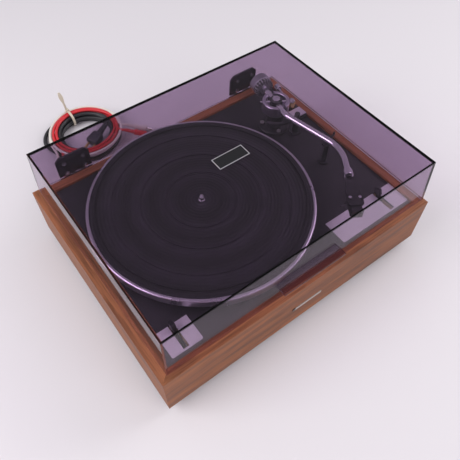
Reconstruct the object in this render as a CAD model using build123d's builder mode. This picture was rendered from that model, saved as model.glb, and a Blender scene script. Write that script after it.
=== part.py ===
from build123d import *
import os
from math import atan2, cos, degrees, hypot, pi, radians, sin, sqrt, tan

os.makedirs("parts", exist_ok=True)

# Belt-drive record player in a wooden plinth with a hinged clear cover.
# Origin: on the floor, in the middle of everything but the leads. +X right, +Y back, +Z up. Millimetres.

# The hinges reach further back than the grip does forward, so the plinth stands this far in front of the origin
PLINTH_SHIFT = -6.0

# Plinth
WIDTH = 431.0
DEPTH = 338.0
FEET_HEIGHT = 15.0
PLINTH_TOP = 95.0
BOARD = 16.0
INNER_X = WIDTH / 2 - BOARD
INNER_Y = DEPTH / 2 - BOARD
FLOOR_BOARD = 5.0

# Deck: thin black plate on a thick board
DECK_TOP = 91.0
DECK_PLATE = 2.0
CHASSIS_TOP = DECK_TOP - DECK_PLATE
CHASSIS_BOTTOM = CHASSIS_TOP - 12.0
TRIM_TOP = DECK_TOP + 1.0

# Platter and drive
SPINDLE = (-42.3, 4.8)
PLATTER_R = 152.0
PLATTER_TOP = 116.0
PLATTER_BOTTOM = PLATTER_TOP - 13.0
MAT_SEAT = PLATTER_TOP - 2.5
MAT_R = 147.5
MAT_TOP = MAT_SEAT + 3.2
WEB_BOTTOM = MAT_SEAT - 3.5
DRIVE_RIM_R = 80.0
BELT_T = 0.7
BELT_GAP = 0.3
BELT_LOW = PLATTER_BOTTOM + 0.5
BELT_HIGH = BELT_LOW + 5.0
MOTOR = (-119.0, -77.1)
SLOW_RATIO = 9.0
FAST_RATIO = 300.0 / 45.0
PULLEY_SLOW_R = (DRIVE_RIM_R + BELT_T / 2) / SLOW_RATIO - BELT_T / 2
PULLEY_FAST_R = (DRIVE_RIM_R + BELT_T / 2) / FAST_RATIO - BELT_T / 2
SPINDLE_R = 3.6
SHAFT_R = 4.0
RUNNING = 0.04

# Arm: its own axes are u across (away from the platter) and v along, the needle at v = -ARM_LENGTH
PIVOT = (143.1, 77.2)
ARM_Z = 135.5
PIVOT_Z = ARM_Z + 3.0
ARM_TURN = -11.0
ARM_LENGTH = 212.4
OFFSET = 22.0
TUBE_R = 4.5
FIRST_BEND = 29.5
NEEDLE_Z = MAT_TOP + 1.7

# Controls
LEVER_Y = -127.5
LEVER_Z = 73.0
LEVER_LEAN = 22.0
SPEED_X = -169.0
LIFT_X = 170.0

# Cover
COVER_MID = (3.5, 3.0)
COVER_BOTTOM = 96.0
COVER_TOP = 168.0
COVER_FOOT = (418.9, 329.1)
COVER_CROWN = (412.0, 320.2)
COVER_WALL = 3.0
HINGE_Y = 177.0
HINGE_Z = 101.0
HINGE_X = (-148.0, 150.0)

# Leads
MAINS_D = 6.5
PHONO_D = 4.5
COIL_MID = (-75.0, 318.0)
COIL_R = 50.0
BUNDLE_R = 15.0


def save(piece, name):
    """Everything is drawn about the plinth's middle and moved to the player's origin here."""
    placed = Pos(0, PLINTH_SHIFT, 0) * piece.part
    placed.label = name
    export_step(placed, f"parts/{name}.step")


def arm_frame(u, v, z):
    """A point given across and along the arm, in the player's own axes."""
    turn = radians(ARM_TURN)
    return (
        PIVOT[0] + u * cos(turn) - v * sin(turn),
        PIVOT[1] + u * sin(turn) + v * cos(turn),
        z,
    )


def arm_direction(degrees_from_back):
    """Unit vector in the arm's plane, 0 pointing to the counterweight, positive towards the platter."""
    angle = radians(ARM_TURN + 90.0 + degrees_from_back)
    return (cos(angle), sin(angle), 0.0)


def arc_point(angle, radius):
    """A point on a circle round the arm's pivot."""
    return (PIVOT[0] + radius * cos(radians(angle)), PIVOT[1] + radius * sin(radians(angle)))


# ---------------------------------------------------------------- plinth
OUT_X = WIDTH / 2
OUT_Y = DEPTH / 2
MAINS_EXIT = (-140.0, OUT_Y, 42.0)
PHONO_EXITS = ((-163.0, OUT_Y, 42.0), (-155.0, OUT_Y, 42.0))
PHONO_MID_X = (PHONO_EXITS[0][0] + PHONO_EXITS[1][0]) / 2
SCREW_R = 1.6
BRACKET = (50.0, 22.0)
BRACKET_MID = 80.0
BRACKET_SCREWS = (38.0, 12.0)
BRACKET_SCREW_DEPTH = 12.0

with BuildPart() as plinth_front_board:
    with BuildSketch(Plane.XY.offset(FEET_HEIGHT)):
        with BuildLine():
            Polyline((-OUT_X, -OUT_Y), (OUT_X, -OUT_Y), (INNER_X, -INNER_Y), (-INNER_X, -INNER_Y), close=True)
        make_face()
    extrude(amount=PLINTH_TOP - FEET_HEIGHT)
save(plinth_front_board, "plinth_front_board")

with BuildPart() as plinth_rear_board:
    with BuildSketch(Plane.XY.offset(FEET_HEIGHT)):
        with BuildLine():
            Polyline((-OUT_X, OUT_Y), (-INNER_X, INNER_Y), (INNER_X, INNER_Y), (OUT_X, OUT_Y), close=True)
        make_face()
    extrude(amount=PLINTH_TOP - FEET_HEIGHT)
    with BuildSketch(Plane.XZ.offset(-OUT_Y)):
        with Locations((MAINS_EXIT[0], MAINS_EXIT[2])):
            Circle(6.5)
        with Locations((PHONO_MID_X, MAINS_EXIT[2])):
            SlotOverall(17.0, 9.0)
    extrude(amount=BOARD, mode=Mode.SUBTRACT)
    with BuildSketch(Plane.XZ.offset(-OUT_Y)):
        for hinge_x in HINGE_X:
            with Locations((hinge_x, BRACKET_MID)):
                with GridLocations(BRACKET_SCREWS[0], BRACKET_SCREWS[1], 2, 2):
                    Circle(SCREW_R)
    extrude(amount=BRACKET_SCREW_DEPTH, mode=Mode.SUBTRACT)
save(plinth_rear_board, "plinth_rear_board")

with BuildPart() as plinth_left_board:
    with BuildSketch(Plane.XY.offset(FEET_HEIGHT)):
        with BuildLine():
            Polyline((-OUT_X, -OUT_Y), (-INNER_X, -INNER_Y), (-INNER_X, INNER_Y), (-OUT_X, OUT_Y), close=True)
        make_face()
    extrude(amount=PLINTH_TOP - FEET_HEIGHT)
save(plinth_left_board, "plinth_left_board")

with BuildPart() as plinth_right_board:
    with BuildSketch(Plane.XY.offset(FEET_HEIGHT)):
        with BuildLine():
            Polyline((OUT_X, -OUT_Y), (OUT_X, OUT_Y), (INNER_X, INNER_Y), (INNER_X, -INNER_Y), close=True)
        make_face()
    extrude(amount=PLINTH_TOP - FEET_HEIGHT)
save(plinth_right_board, "plinth_right_board")

# Glued blocks hold the corners square and take the floor's screws; the deck lies on the cleats above them
BLOCK = 22.0
CLEAT_LOW = CHASSIS_BOTTOM - 12.0
FLOOR_TOP = FEET_HEIGHT + FLOOR_BOARD
BLOCK_X = INNER_X - BLOCK / 2
BLOCK_Y = INNER_Y - BLOCK / 2
with BuildPart() as plinth_blocks:
    with BuildSketch(Plane.XY.offset(FLOOR_TOP)):
        with GridLocations(2 * BLOCK_X, 2 * BLOCK_Y, 2, 2):
            Rectangle(BLOCK, BLOCK)
            Circle(SCREW_R, mode=Mode.SUBTRACT)
    extrude(amount=CLEAT_LOW - FLOOR_TOP)
    with BuildSketch(Plane.XY.offset(CLEAT_LOW)):
        with GridLocations(2 * INNER_X - BLOCK, 0, 2, 1):
            Rectangle(BLOCK, 2 * INNER_Y)
    extrude(amount=CHASSIS_BOTTOM - CLEAT_LOW)
save(plinth_blocks, "plinth_blocks")

FOOT_X = 172.0
FOOT_Y = 122.0
FOOT_R = 17.0
with BuildPart() as floor_board:
    with BuildSketch(Plane.XY.offset(FEET_HEIGHT)):
        Rectangle(2 * INNER_X - 0.4, 2 * INNER_Y - 0.4)
        with GridLocations(2 * BLOCK_X, 2 * BLOCK_Y, 2, 2):
            Circle(SCREW_R, mode=Mode.SUBTRACT)
        with GridLocations(2 * FOOT_X, 2 * FOOT_Y, 2, 2):
            Circle(SCREW_R, mode=Mode.SUBTRACT)
        with Locations((MOTOR[0], MOTOR[1])):
            with GridLocations(0, 11.0, 1, 5):
                SlotOverall(44.0, 4.0, mode=Mode.SUBTRACT)
    extrude(amount=FLOOR_BOARD)
save(floor_board, "floor_board")

# Turned rubber feet, each with a recess for its own screw
FOOT_RECESS = 8.0
with BuildPart() as feet:
    with BuildSketch():
        with GridLocations(2 * FOOT_X, 2 * FOOT_Y, 2, 2):
            Circle(FOOT_R)
    extrude(amount=FEET_HEIGHT)
    chamfer(feet.faces().filter_by(Axis.Z).group_by(Axis.Z)[0].edges(), 2.0)
    with BuildSketch():
        with GridLocations(2 * FOOT_X, 2 * FOOT_Y, 2, 2):
            Circle(5.0)
    extrude(amount=FOOT_RECESS, mode=Mode.SUBTRACT)
    with BuildSketch():
        with GridLocations(2 * FOOT_X, 2 * FOOT_Y, 2, 2):
            Circle(SCREW_R)
    extrude(amount=FEET_HEIGHT, mode=Mode.SUBTRACT)
save(feet, "feet")

# ---------------------------------------------------------------- deck
# The left run of the belt leaves the pulley at this tangent; the fork's prongs stand each side of it
PULL = (SPINDLE[0] - MOTOR[0], SPINDLE[1] - MOTOR[1])
PULL_LENGTH = hypot(PULL[0], PULL[1])
TOWARD = (PULL[0] / PULL_LENGTH, PULL[1] / PULL_LENGTH)
LEAN = (DRIVE_RIM_R - PULLEY_SLOW_R) / PULL_LENGTH
RISE = sqrt(1 - LEAN**2)
BELT_OUT = (-LEAN * TOWARD[0] - RISE * TOWARD[1], -LEAN * TOWARD[1] + RISE * TOWARD[0])
BELT_RUN = (RISE * TOWARD[0] - LEAN * TOWARD[1], RISE * TOWARD[1] + LEAN * TOWARD[0])
BELT_SIDE = PULLEY_SLOW_R + BELT_GAP + BELT_T / 2
FORK_ALONG = 24.0
PRONG_SIDE = 2.0
FORK_MID = (
    MOTOR[0] + BELT_SIDE * BELT_OUT[0] + FORK_ALONG * BELT_RUN[0],
    MOTOR[1] + BELT_SIDE * BELT_OUT[1] + FORK_ALONG * BELT_RUN[1],
)
FORK_STEM_X = FORK_MID[0] - 11.0
FORK_TRAVEL = 5.5
FORK_PLATE_TOP = BELT_LOW - 1.0

# A hole under the platter lets the motor's shaft come up, and a small one beside it guides the fork's stem
WINDOW_R = 14.0
FORK_STEM_R = 2.5
EAR_R = 36.0
EAR_TURN = 70.0
LEVER_SLOT = (8.0, 32.0)
LEVER_SLOT_Y = -128.0
HOUSING_R = 9.0
ARM_SHAFT_R = 4.0
LIFT_PIVOT_R = 35.0
LIFT_ANGLE = -60.0
LIFT_POST = (
    PIVOT[0] + LIFT_PIVOT_R * cos(radians(LIFT_ANGLE)),
    PIVOT[1] + LIFT_PIVOT_R * sin(radians(LIFT_ANGLE)),
)
LIFT_BARREL_R = 5.4
KNOB = (189.0, 90.0)
REST_FOOT = (154.4, -25.2)
BASE_SCREW_R = 18.0
DECK_SCREWS = ((0.0, 60.0), (-90.0, 60.0), (-60.0, -60.0), (20.0, -60.0))


def deck_openings(extra):
    """Holes that the thin plate and the board under it share."""
    with Locations(SPINDLE):
        Circle(HOUSING_R + extra)
    with Locations(MOTOR):
        Circle(WINDOW_R)
    with Locations((FORK_STEM_X, FORK_MID[1])):
        Circle(FORK_STEM_R + RUNNING + extra)
    with Locations((SPEED_X, LEVER_SLOT_Y), (LIFT_X, LEVER_SLOT_Y)):
        Rectangle(LEVER_SLOT[0], LEVER_SLOT[1])
    with Locations(PIVOT):
        Circle(ARM_SHAFT_R + 3.0)
    with Locations(LIFT_POST):
        Circle(LIFT_BARREL_R)


with BuildPart() as chassis_board:
    with BuildSketch(Plane.XY.offset(CHASSIS_BOTTOM)):
        Rectangle(2 * INNER_X - 0.4, 2 * INNER_Y - 0.4)
        with BuildSketch(Plane.XY.offset(CHASSIS_BOTTOM), mode=Mode.SUBTRACT):
            deck_openings(0.0)
        with Locations(DECK_SCREWS):
            Circle(1.5, mode=Mode.SUBTRACT)
        with Locations(PIVOT):
            with PolarLocations(BASE_SCREW_R, 3, start_angle=15):
                Circle(1.5, mode=Mode.SUBTRACT)
        with Locations(MOTOR):
            with PolarLocations(EAR_R, 3, start_angle=EAR_TURN):
                Circle(SCREW_R, mode=Mode.SUBTRACT)
    extrude(amount=CHASSIS_TOP - CHASSIS_BOTTOM)
save(chassis_board, "chassis_board")

with BuildPart() as deck_plate:
    with BuildSketch(Plane.XY.offset(CHASSIS_TOP)):
        Rectangle(2 * INNER_X - 0.4, 2 * INNER_Y - 0.4)
        with BuildSketch(Plane.XY.offset(CHASSIS_TOP), mode=Mode.SUBTRACT):
            deck_openings(0.5)
        with Locations(DECK_SCREWS):
            Circle(1.5, mode=Mode.SUBTRACT)
        with Locations(PIVOT):
            with PolarLocations(BASE_SCREW_R, 3, start_angle=15):
                Circle(1.5, mode=Mode.SUBTRACT)
    extrude(amount=DECK_PLATE)
save(deck_plate, "deck_plate")

# Cross-head screws hold the deck and the arm's flange; a set screw in the arm's column fixes its height
COLUMN_R = 13.0
set_way = (cos(radians(-126.0)), sin(radians(-126.0)), 0)
SET_SCREW_PLANE = Plane(origin=(PIVOT[0], PIVOT[1], 106.0), z_dir=set_way)
ARM_FLANGE = 4.0
with BuildPart() as deck_screws:
    with BuildSketch(Plane.XY.offset(DECK_TOP)):
        with Locations(DECK_SCREWS):
            Circle(3.2)
    with BuildSketch(Plane.XY.offset(DECK_TOP + ARM_FLANGE)):
        with Locations(PIVOT):
            with PolarLocations(BASE_SCREW_R, 3, start_angle=15):
                Circle(3.2)
    extrude(amount=1.5)
    with BuildSketch(Plane.XY.offset(DECK_TOP + 1.5)):
        with Locations(DECK_SCREWS):
            Rectangle(4.2, 0.8)
            Rectangle(0.8, 4.2)
    with BuildSketch(Plane.XY.offset(DECK_TOP + ARM_FLANGE + 1.5)):
        with Locations(PIVOT):
            with PolarLocations(BASE_SCREW_R, 3, start_angle=15):
                Rectangle(4.2, 0.8)
                Rectangle(0.8, 4.2)
    extrude(amount=-0.9, mode=Mode.SUBTRACT)
    with BuildSketch(Plane.XY.offset(CHASSIS_BOTTOM + 1.0)):
        with Locations(DECK_SCREWS):
            Circle(1.5)
    extrude(amount=DECK_TOP - CHASSIS_BOTTOM - 1.0)
    with BuildSketch(Plane.XY.offset(CHASSIS_BOTTOM + 1.0)):
        with Locations(PIVOT):
            with PolarLocations(BASE_SCREW_R, 3, start_angle=15):
                Circle(1.5)
    extrude(amount=DECK_TOP + ARM_FLANGE - CHASSIS_BOTTOM - 1.0)
    with BuildSketch(SET_SCREW_PLANE.offset(COLUMN_R - 5.0)):
        Circle(2.5)
    extrude(amount=6.5)
    with BuildSketch(SET_SCREW_PLANE.offset(COLUMN_R)):
        Circle(1.2)
    extrude(amount=1.5, mode=Mode.SUBTRACT)
save(deck_screws, "deck_screws")

# Brushed trim plates along the front, each with a slot open at its rear edge
LEFT_TRIM = (-189.6, -147.0)
RIGHT_TRIM = (77.0, 198.8)
TRIM_Y = (-146.3, -111.6)


def trim_sketch(edges, slot_x):
    with Locations(((edges[0] + edges[1]) / 2, (TRIM_Y[0] + TRIM_Y[1]) / 2)):
        Rectangle(edges[1] - edges[0], TRIM_Y[1] - TRIM_Y[0])
    with Locations((slot_x, LEVER_SLOT_Y + 2.0)):
        Rectangle(LEVER_SLOT[0], LEVER_SLOT[1] + 4.0, mode=Mode.SUBTRACT)


with BuildPart() as trim_plates:
    with BuildSketch(Plane.XY.offset(DECK_TOP)):
        trim_sketch(LEFT_TRIM, SPEED_X)
        trim_sketch(RIGHT_TRIM, LIFT_X)
    extrude(amount=TRIM_TOP - DECK_TOP)
    chamfer(trim_plates.edges().filter_by(Axis.Z).group_by(Axis.Y)[0], 1.5)
save(trim_plates, "trim_plates")

# ---------------------------------------------------------------- platter bearing
SPINDLE_AXIS = Axis((SPINDLE[0], SPINDLE[1], 0), (0, 0, 1))
SPINDLE_SECTION = Plane(origin=(SPINDLE[0], SPINDLE[1], 0), x_dir=(1, 0, 0), z_dir=(0, -1, 0))
MOTOR_AXIS = Axis((MOTOR[0], MOTOR[1], 0), (0, 0, 1))
MOTOR_SECTION = Plane(origin=(MOTOR[0], MOTOR[1], 0), x_dir=(1, 0, 0), z_dir=(0, -1, 0))
MOTOR_SHAFT_R = 1.6
MOTOR_R = 27.0
MOTOR_FOOT = 26.0
MOTOR_HEAD = 66.0
SHAFT_FOOT = 50.0
HOUSING_TOP = 100.0
HUB_SEAT = 105.5
COLLAR_R = 6.0
SPINDLE_TIP = 125.0
with BuildPart() as bearing_housing:
    with BuildSketch(SPINDLE_SECTION):
        with BuildLine():
            Polyline(
                (0, 41.0),
                (HOUSING_R, 41.0),
                (HOUSING_R, CHASSIS_BOTTOM - 4.0),
                (24.0, CHASSIS_BOTTOM - 4.0),
                (24.0, CHASSIS_BOTTOM),
                (HOUSING_R, CHASSIS_BOTTOM),
                (HOUSING_R, HOUSING_TOP),
                (SHAFT_R + RUNNING, HOUSING_TOP),
                (SHAFT_R + RUNNING, SHAFT_FOOT - RUNNING),
                (0, SHAFT_FOOT - RUNNING),
                close=True,
            )
        make_face()
    revolve(axis=SPINDLE_AXIS)
    with BuildSketch(Plane.XY.offset(CHASSIS_BOTTOM - 4.0)):
        with Locations(SPINDLE):
            with PolarLocations(18.0, 3, start_angle=90):
                Circle(1.5)
    extrude(amount=4.0, mode=Mode.SUBTRACT)
save(bearing_housing, "bearing_housing")

with BuildPart() as spindle_shaft:
    with BuildSketch(SPINDLE_SECTION):
        with BuildLine():
            Polyline(
                (0, SPINDLE_TIP),
                (0, SHAFT_FOOT),
                (SHAFT_R - 0.5, SHAFT_FOOT),
                (SHAFT_R, SHAFT_FOOT + 0.5),
                (SHAFT_R, HOUSING_TOP + 1.5),
                (COLLAR_R, HOUSING_TOP + 1.5),
                (COLLAR_R, MAT_SEAT),
                (SPINDLE_R + 0.6, MAT_SEAT),
                (SPINDLE_R + 0.6, MAT_TOP + 0.1),
                (SPINDLE_R, MAT_TOP + 0.1),
                (SPINDLE_R, SPINDLE_TIP - 3.0),
                (SPINDLE_R - 1.4, SPINDLE_TIP - 0.8),
                (0, SPINDLE_TIP),
            )
        make_face()
    revolve(axis=SPINDLE_AXIS)
save(spindle_shaft, "spindle_shaft")

# Cast platter: skirt outside, a ring for the belt inside, a recess on top for the mat
SKIRT_IN = PLATTER_R - 5.5
with BuildPart() as platter:
    with BuildSketch(SPINDLE_SECTION):
        with BuildLine():
            Polyline(
                (COLLAR_R, HUB_SEAT),
                (14.0, HUB_SEAT),
                (15.0, WEB_BOTTOM),
                (DRIVE_RIM_R - 6.0, WEB_BOTTOM),
                (DRIVE_RIM_R - 5.5, PLATTER_BOTTOM),
                (DRIVE_RIM_R, PLATTER_BOTTOM),
                (DRIVE_RIM_R, WEB_BOTTOM),
                (SKIRT_IN, WEB_BOTTOM),
                (SKIRT_IN + 0.5, PLATTER_BOTTOM),
                (PLATTER_R - 0.8, PLATTER_BOTTOM),
                (PLATTER_R, PLATTER_BOTTOM + 0.8),
                (PLATTER_R, PLATTER_TOP - 1.6),
                (PLATTER_R - 0.5, PLATTER_TOP - 0.5),
                (PLATTER_R - 1.6, PLATTER_TOP),
                (MAT_R + 0.4, PLATTER_TOP),
                (MAT_R + 0.2, MAT_SEAT),
                (COLLAR_R, MAT_SEAT),
                close=True,
            )
        make_face()
    revolve(axis=SPINDLE_AXIS)
save(platter, "platter")

# Rubber mat: flat bands between round grooves, with a lower label area in the middle
MAT_GROOVES = (47.2, 79.9, 117.9, 139.0)
LABEL_R = 45.0
MAT_HOLE_R = SPINDLE_R + 0.8
GROOVE = (2.4, 1.0)
with BuildPart() as platter_mat:
    with BuildSketch(SPINDLE_SECTION):
        with Locations(((MAT_HOLE_R + MAT_R) / 2, (MAT_SEAT + MAT_TOP) / 2)):
            Rectangle(MAT_R - MAT_HOLE_R, MAT_TOP - MAT_SEAT)
        with Locations(((MAT_HOLE_R + LABEL_R) / 2, MAT_TOP)):
            Rectangle(LABEL_R - MAT_HOLE_R, 1.2, mode=Mode.SUBTRACT)
        for groove_r in MAT_GROOVES:
            with Locations((groove_r, MAT_TOP)):
                Rectangle(GROOVE[0], 2 * GROOVE[1], mode=Mode.SUBTRACT)
    revolve(axis=SPINDLE_AXIS)
save(platter_mat, "platter_mat")

# ---------------------------------------------------------------- drive
with BuildPart() as drive_belt:
    with BuildSketch(Plane.XY.offset(BELT_LOW)):
        with Locations(SPINDLE):
            Circle(DRIVE_RIM_R + BELT_GAP + BELT_T)
        with Locations(MOTOR):
            Circle(PULLEY_SLOW_R + BELT_GAP + BELT_T)
        make_hull()
        offset(amount=-BELT_T, mode=Mode.SUBTRACT)
    extrude(amount=BELT_HIGH - BELT_LOW)
save(drive_belt, "drive_belt")

# The motor's shaft with its pulley: a crown for each speed, the belt on the upper, smaller one
STEP_Z = BELT_LOW - 0.5
with BuildPart() as motor_pulley:
    with BuildSketch(MOTOR_SECTION):
        with BuildLine():
            Polyline(
                (0, MOTOR_FOOT + 4.0),
                (MOTOR_SHAFT_R, MOTOR_FOOT + 4.0),
                (MOTOR_SHAFT_R, STEP_Z - 7.5),
                (PULLEY_FAST_R + 0.8, STEP_Z - 7.5),
                (PULLEY_FAST_R + 0.8, STEP_Z - 6.7),
                (PULLEY_FAST_R, STEP_Z - 6.5),
                (PULLEY_FAST_R, STEP_Z - 0.4),
                (PULLEY_SLOW_R, STEP_Z),
                (PULLEY_SLOW_R, BELT_HIGH + 0.2),
                (PULLEY_SLOW_R - 1.0, BELT_HIGH + 0.8),
                (0, BELT_HIGH + 0.8),
                close=True,
            )
        make_face()
    revolve(axis=MOTOR_AXIS)
save(motor_pulley, "motor_pulley")

# Synchronous motor: a drum can with a plate of three ears hung from rubber grommets
with BuildPart() as motor:
    with BuildSketch(Plane.XY.offset(MOTOR_FOOT)):
        with Locations(MOTOR):
            Circle(MOTOR_R)
    extrude(amount=MOTOR_HEAD - MOTOR_FOOT)
    fillet(motor.edges().filter_by(GeomType.CIRCLE), 2.0)
    with BuildSketch(Plane.XY.offset(MOTOR_FOOT + 3.8)):
        with Locations(MOTOR):
            Circle(MOTOR_SHAFT_R + RUNNING)
    extrude(amount=MOTOR_HEAD - MOTOR_FOOT, mode=Mode.SUBTRACT)
    with BuildSketch(Plane.XY.offset(MOTOR_HEAD)):
        with Locations(MOTOR):
            Circle(22.0)
            with PolarLocations(EAR_R, 3, start_angle=EAR_TURN):
                Circle(7.5)
        make_hull()
        with Locations(MOTOR):
            Circle(9.0, mode=Mode.SUBTRACT)
            with PolarLocations(EAR_R, 3, start_angle=EAR_TURN):
                Circle(4.0, mode=Mode.SUBTRACT)
    extrude(amount=1.5)
save(motor, "motor")

with BuildPart() as motor_grommets:
    with BuildSketch(MOTOR_SECTION):
        with BuildLine():
            Polyline(
                (EAR_R + 1.6, MOTOR_HEAD - 2.0),
                (EAR_R + 6.5, MOTOR_HEAD - 2.0),
                (EAR_R + 6.5, MOTOR_HEAD),
                (EAR_R + 4.0, MOTOR_HEAD),
                (EAR_R + 4.0, MOTOR_HEAD + 1.5),
                (EAR_R + 6.5, MOTOR_HEAD + 1.5),
                (EAR_R + 6.5, CHASSIS_BOTTOM),
                (EAR_R + 1.6, CHASSIS_BOTTOM),
                close=True,
            )
        make_face()
    revolve(axis=Axis((MOTOR[0] + EAR_R, MOTOR[1], 0), (0, 0, 1)))
grommet = motor_grommets.part
with BuildPart() as motor_grommets:
    for k in range(3):
        add(grommet.rotate(MOTOR_AXIS, EAR_TURN + 120 * k))
save(motor_grommets, "motor_grommets")

# ---------------------------------------------------------------- speed change
with BuildPart() as belt_fork:
    with BuildSketch(Plane.XY.offset(FORK_PLATE_TOP - 1.5)):
        with Locations(FORK_MID, (FORK_STEM_X, FORK_MID[1])):
            Circle(3.2)
        make_hull()
    extrude(amount=1.5)
    with BuildSketch(Plane.XY.offset(FORK_PLATE_TOP)):
        for side in (-PRONG_SIDE, PRONG_SIDE):
            with Locations((FORK_MID[0] + side * BELT_OUT[0], FORK_MID[1] + side * BELT_OUT[1])):
                Circle(1.0)
    extrude(amount=BELT_HIGH - FORK_PLATE_TOP)
    with BuildSketch(Plane.XY.offset(CHASSIS_BOTTOM - 4.0)):
        with Locations((FORK_STEM_X, FORK_MID[1])):
            Circle(FORK_STEM_R)
    extrude(amount=FORK_PLATE_TOP - 1.5 - CHASSIS_BOTTOM + 4.0)
save(belt_fork, "belt_fork")

# Both levers rock on a pin in a bracket under the deck; at rest they lean to the back
LEVER_LENGTH = 33.0
LEVER_TAIL = 9.0
LEVER_PIN_R = 1.96


def lever_plane(x):
    """Plane across the lever at its pin, its normal along the lever."""
    lean = radians(LEVER_LEAN)
    return Plane(origin=(x, LEVER_Y, LEVER_Z), x_dir=(1, 0, 0), z_dir=(0, sin(lean), cos(lean)))


def lever_pin_plane(x):
    return Plane(origin=(x, LEVER_Y, LEVER_Z), x_dir=(0, 1, 0), z_dir=(1, 0, 0))


with BuildPart() as speed_lever:
    with BuildSketch(lever_plane(SPEED_X).offset(-LEVER_TAIL)):
        RectangleRounded(4.0, 7.0, 1.0)
    extrude(amount=LEVER_LENGTH + LEVER_TAIL - 8.0)
    with BuildSketch(lever_plane(SPEED_X).offset(LEVER_LENGTH - 9.0)):
        RectangleRounded(6.0, 9.0, 1.5)
    extrude(amount=9.0)
    fillet(speed_lever.faces().sort_by(Axis.Z)[-1].edges(), 1.2)
    with BuildSketch(lever_pin_plane(SPEED_X).offset(-4.0)):
        Circle(LEVER_PIN_R + RUNNING)
    extrude(amount=8.0, mode=Mode.SUBTRACT)
save(speed_lever, "speed_lever")

with BuildPart() as lift_lever:
    with BuildSketch(lever_plane(LIFT_X).offset(-LEVER_TAIL)):
        RectangleRounded(4.0, 7.0, 1.0)
    extrude(amount=LEVER_LENGTH + LEVER_TAIL - 8.0)
    with BuildSketch(lever_plane(LIFT_X).offset(LEVER_LENGTH - 9.0)):
        RectangleRounded(6.0, 9.0, 1.5)
    extrude(amount=9.0)
    fillet(lift_lever.faces().sort_by(Axis.Z)[-1].edges(), 1.2)
    with BuildSketch(lever_pin_plane(LIFT_X).offset(-4.0)):
        Circle(LEVER_PIN_R + RUNNING)
    extrude(amount=8.0, mode=Mode.SUBTRACT)
save(lift_lever, "lift_lever")

# Two cheeks hang under the board on each side of a lever, with its pin across them
with BuildPart() as lever_brackets:
    for lever_x in (SPEED_X, LIFT_X):
        with BuildSketch(Plane.XY.offset(LEVER_Z - 6.0)):
            with Locations((lever_x - 5.0, LEVER_Y), (lever_x + 5.0, LEVER_Y)):
                Rectangle(2.0, 14.0)
        extrude(amount=CHASSIS_BOTTOM - LEVER_Z + 6.0)
        with BuildSketch(lever_pin_plane(lever_x).offset(-6.0)):
            Circle(LEVER_PIN_R)
        extrude(amount=12.0)
save(lever_brackets, "lever_brackets")

with BuildPart() as power_switch:
    with BuildSketch(Plane.XY.offset(CHASSIS_BOTTOM - 12.0)):
        with Locations((SPEED_X + 22.0, LEVER_Y)):
            RectangleRounded(20.0, 28.0, 1.0)
    extrude(amount=12.0)
save(power_switch, "power_switch")

# ---------------------------------------------------------------- arm base
BASE_R = 23.0
YOKE_FLOOR = ARM_Z - 11.0
YOKE_R = 20.2
YOKE_IN = 15.0
YOKE_TOP = ARM_Z + 5.7
PIVOT_AXIS = Axis((PIVOT[0], PIVOT[1], 0), (0, 0, 1))
PIVOT_SECTION = Plane(origin=(PIVOT[0], PIVOT[1], 0), x_dir=(1, 0, 0), z_dir=(0, -1, 0))
with BuildPart() as arm_base:
    with BuildSketch(PIVOT_SECTION):
        with BuildLine():
            Polyline(
                (ARM_SHAFT_R + RUNNING, DECK_TOP),
                (BASE_R, DECK_TOP),
                (BASE_R, DECK_TOP + ARM_FLANGE - 1.0),
                (BASE_R - 1.0, DECK_TOP + ARM_FLANGE),
                (COLUMN_R, DECK_TOP + ARM_FLANGE),
                (COLUMN_R, YOKE_FLOOR - 1.5),
                (COLUMN_R - 1.0, YOKE_FLOOR - 0.5),
                (ARM_SHAFT_R + RUNNING, YOKE_FLOOR - 0.5),
                close=True,
            )
        make_face()
    revolve(axis=PIVOT_AXIS)
    with BuildSketch(Plane.XY.offset(DECK_TOP)):
        with Locations(PIVOT):
            with PolarLocations(BASE_SCREW_R, 3, start_angle=15):
                Circle(1.5)
    extrude(amount=ARM_FLANGE, mode=Mode.SUBTRACT)
    with BuildSketch(SET_SCREW_PLANE.offset(COLUMN_R - 5.0)):
        Circle(2.5)
    extrude(amount=10.0, mode=Mode.SUBTRACT)
save(arm_base, "arm_base")

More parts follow.
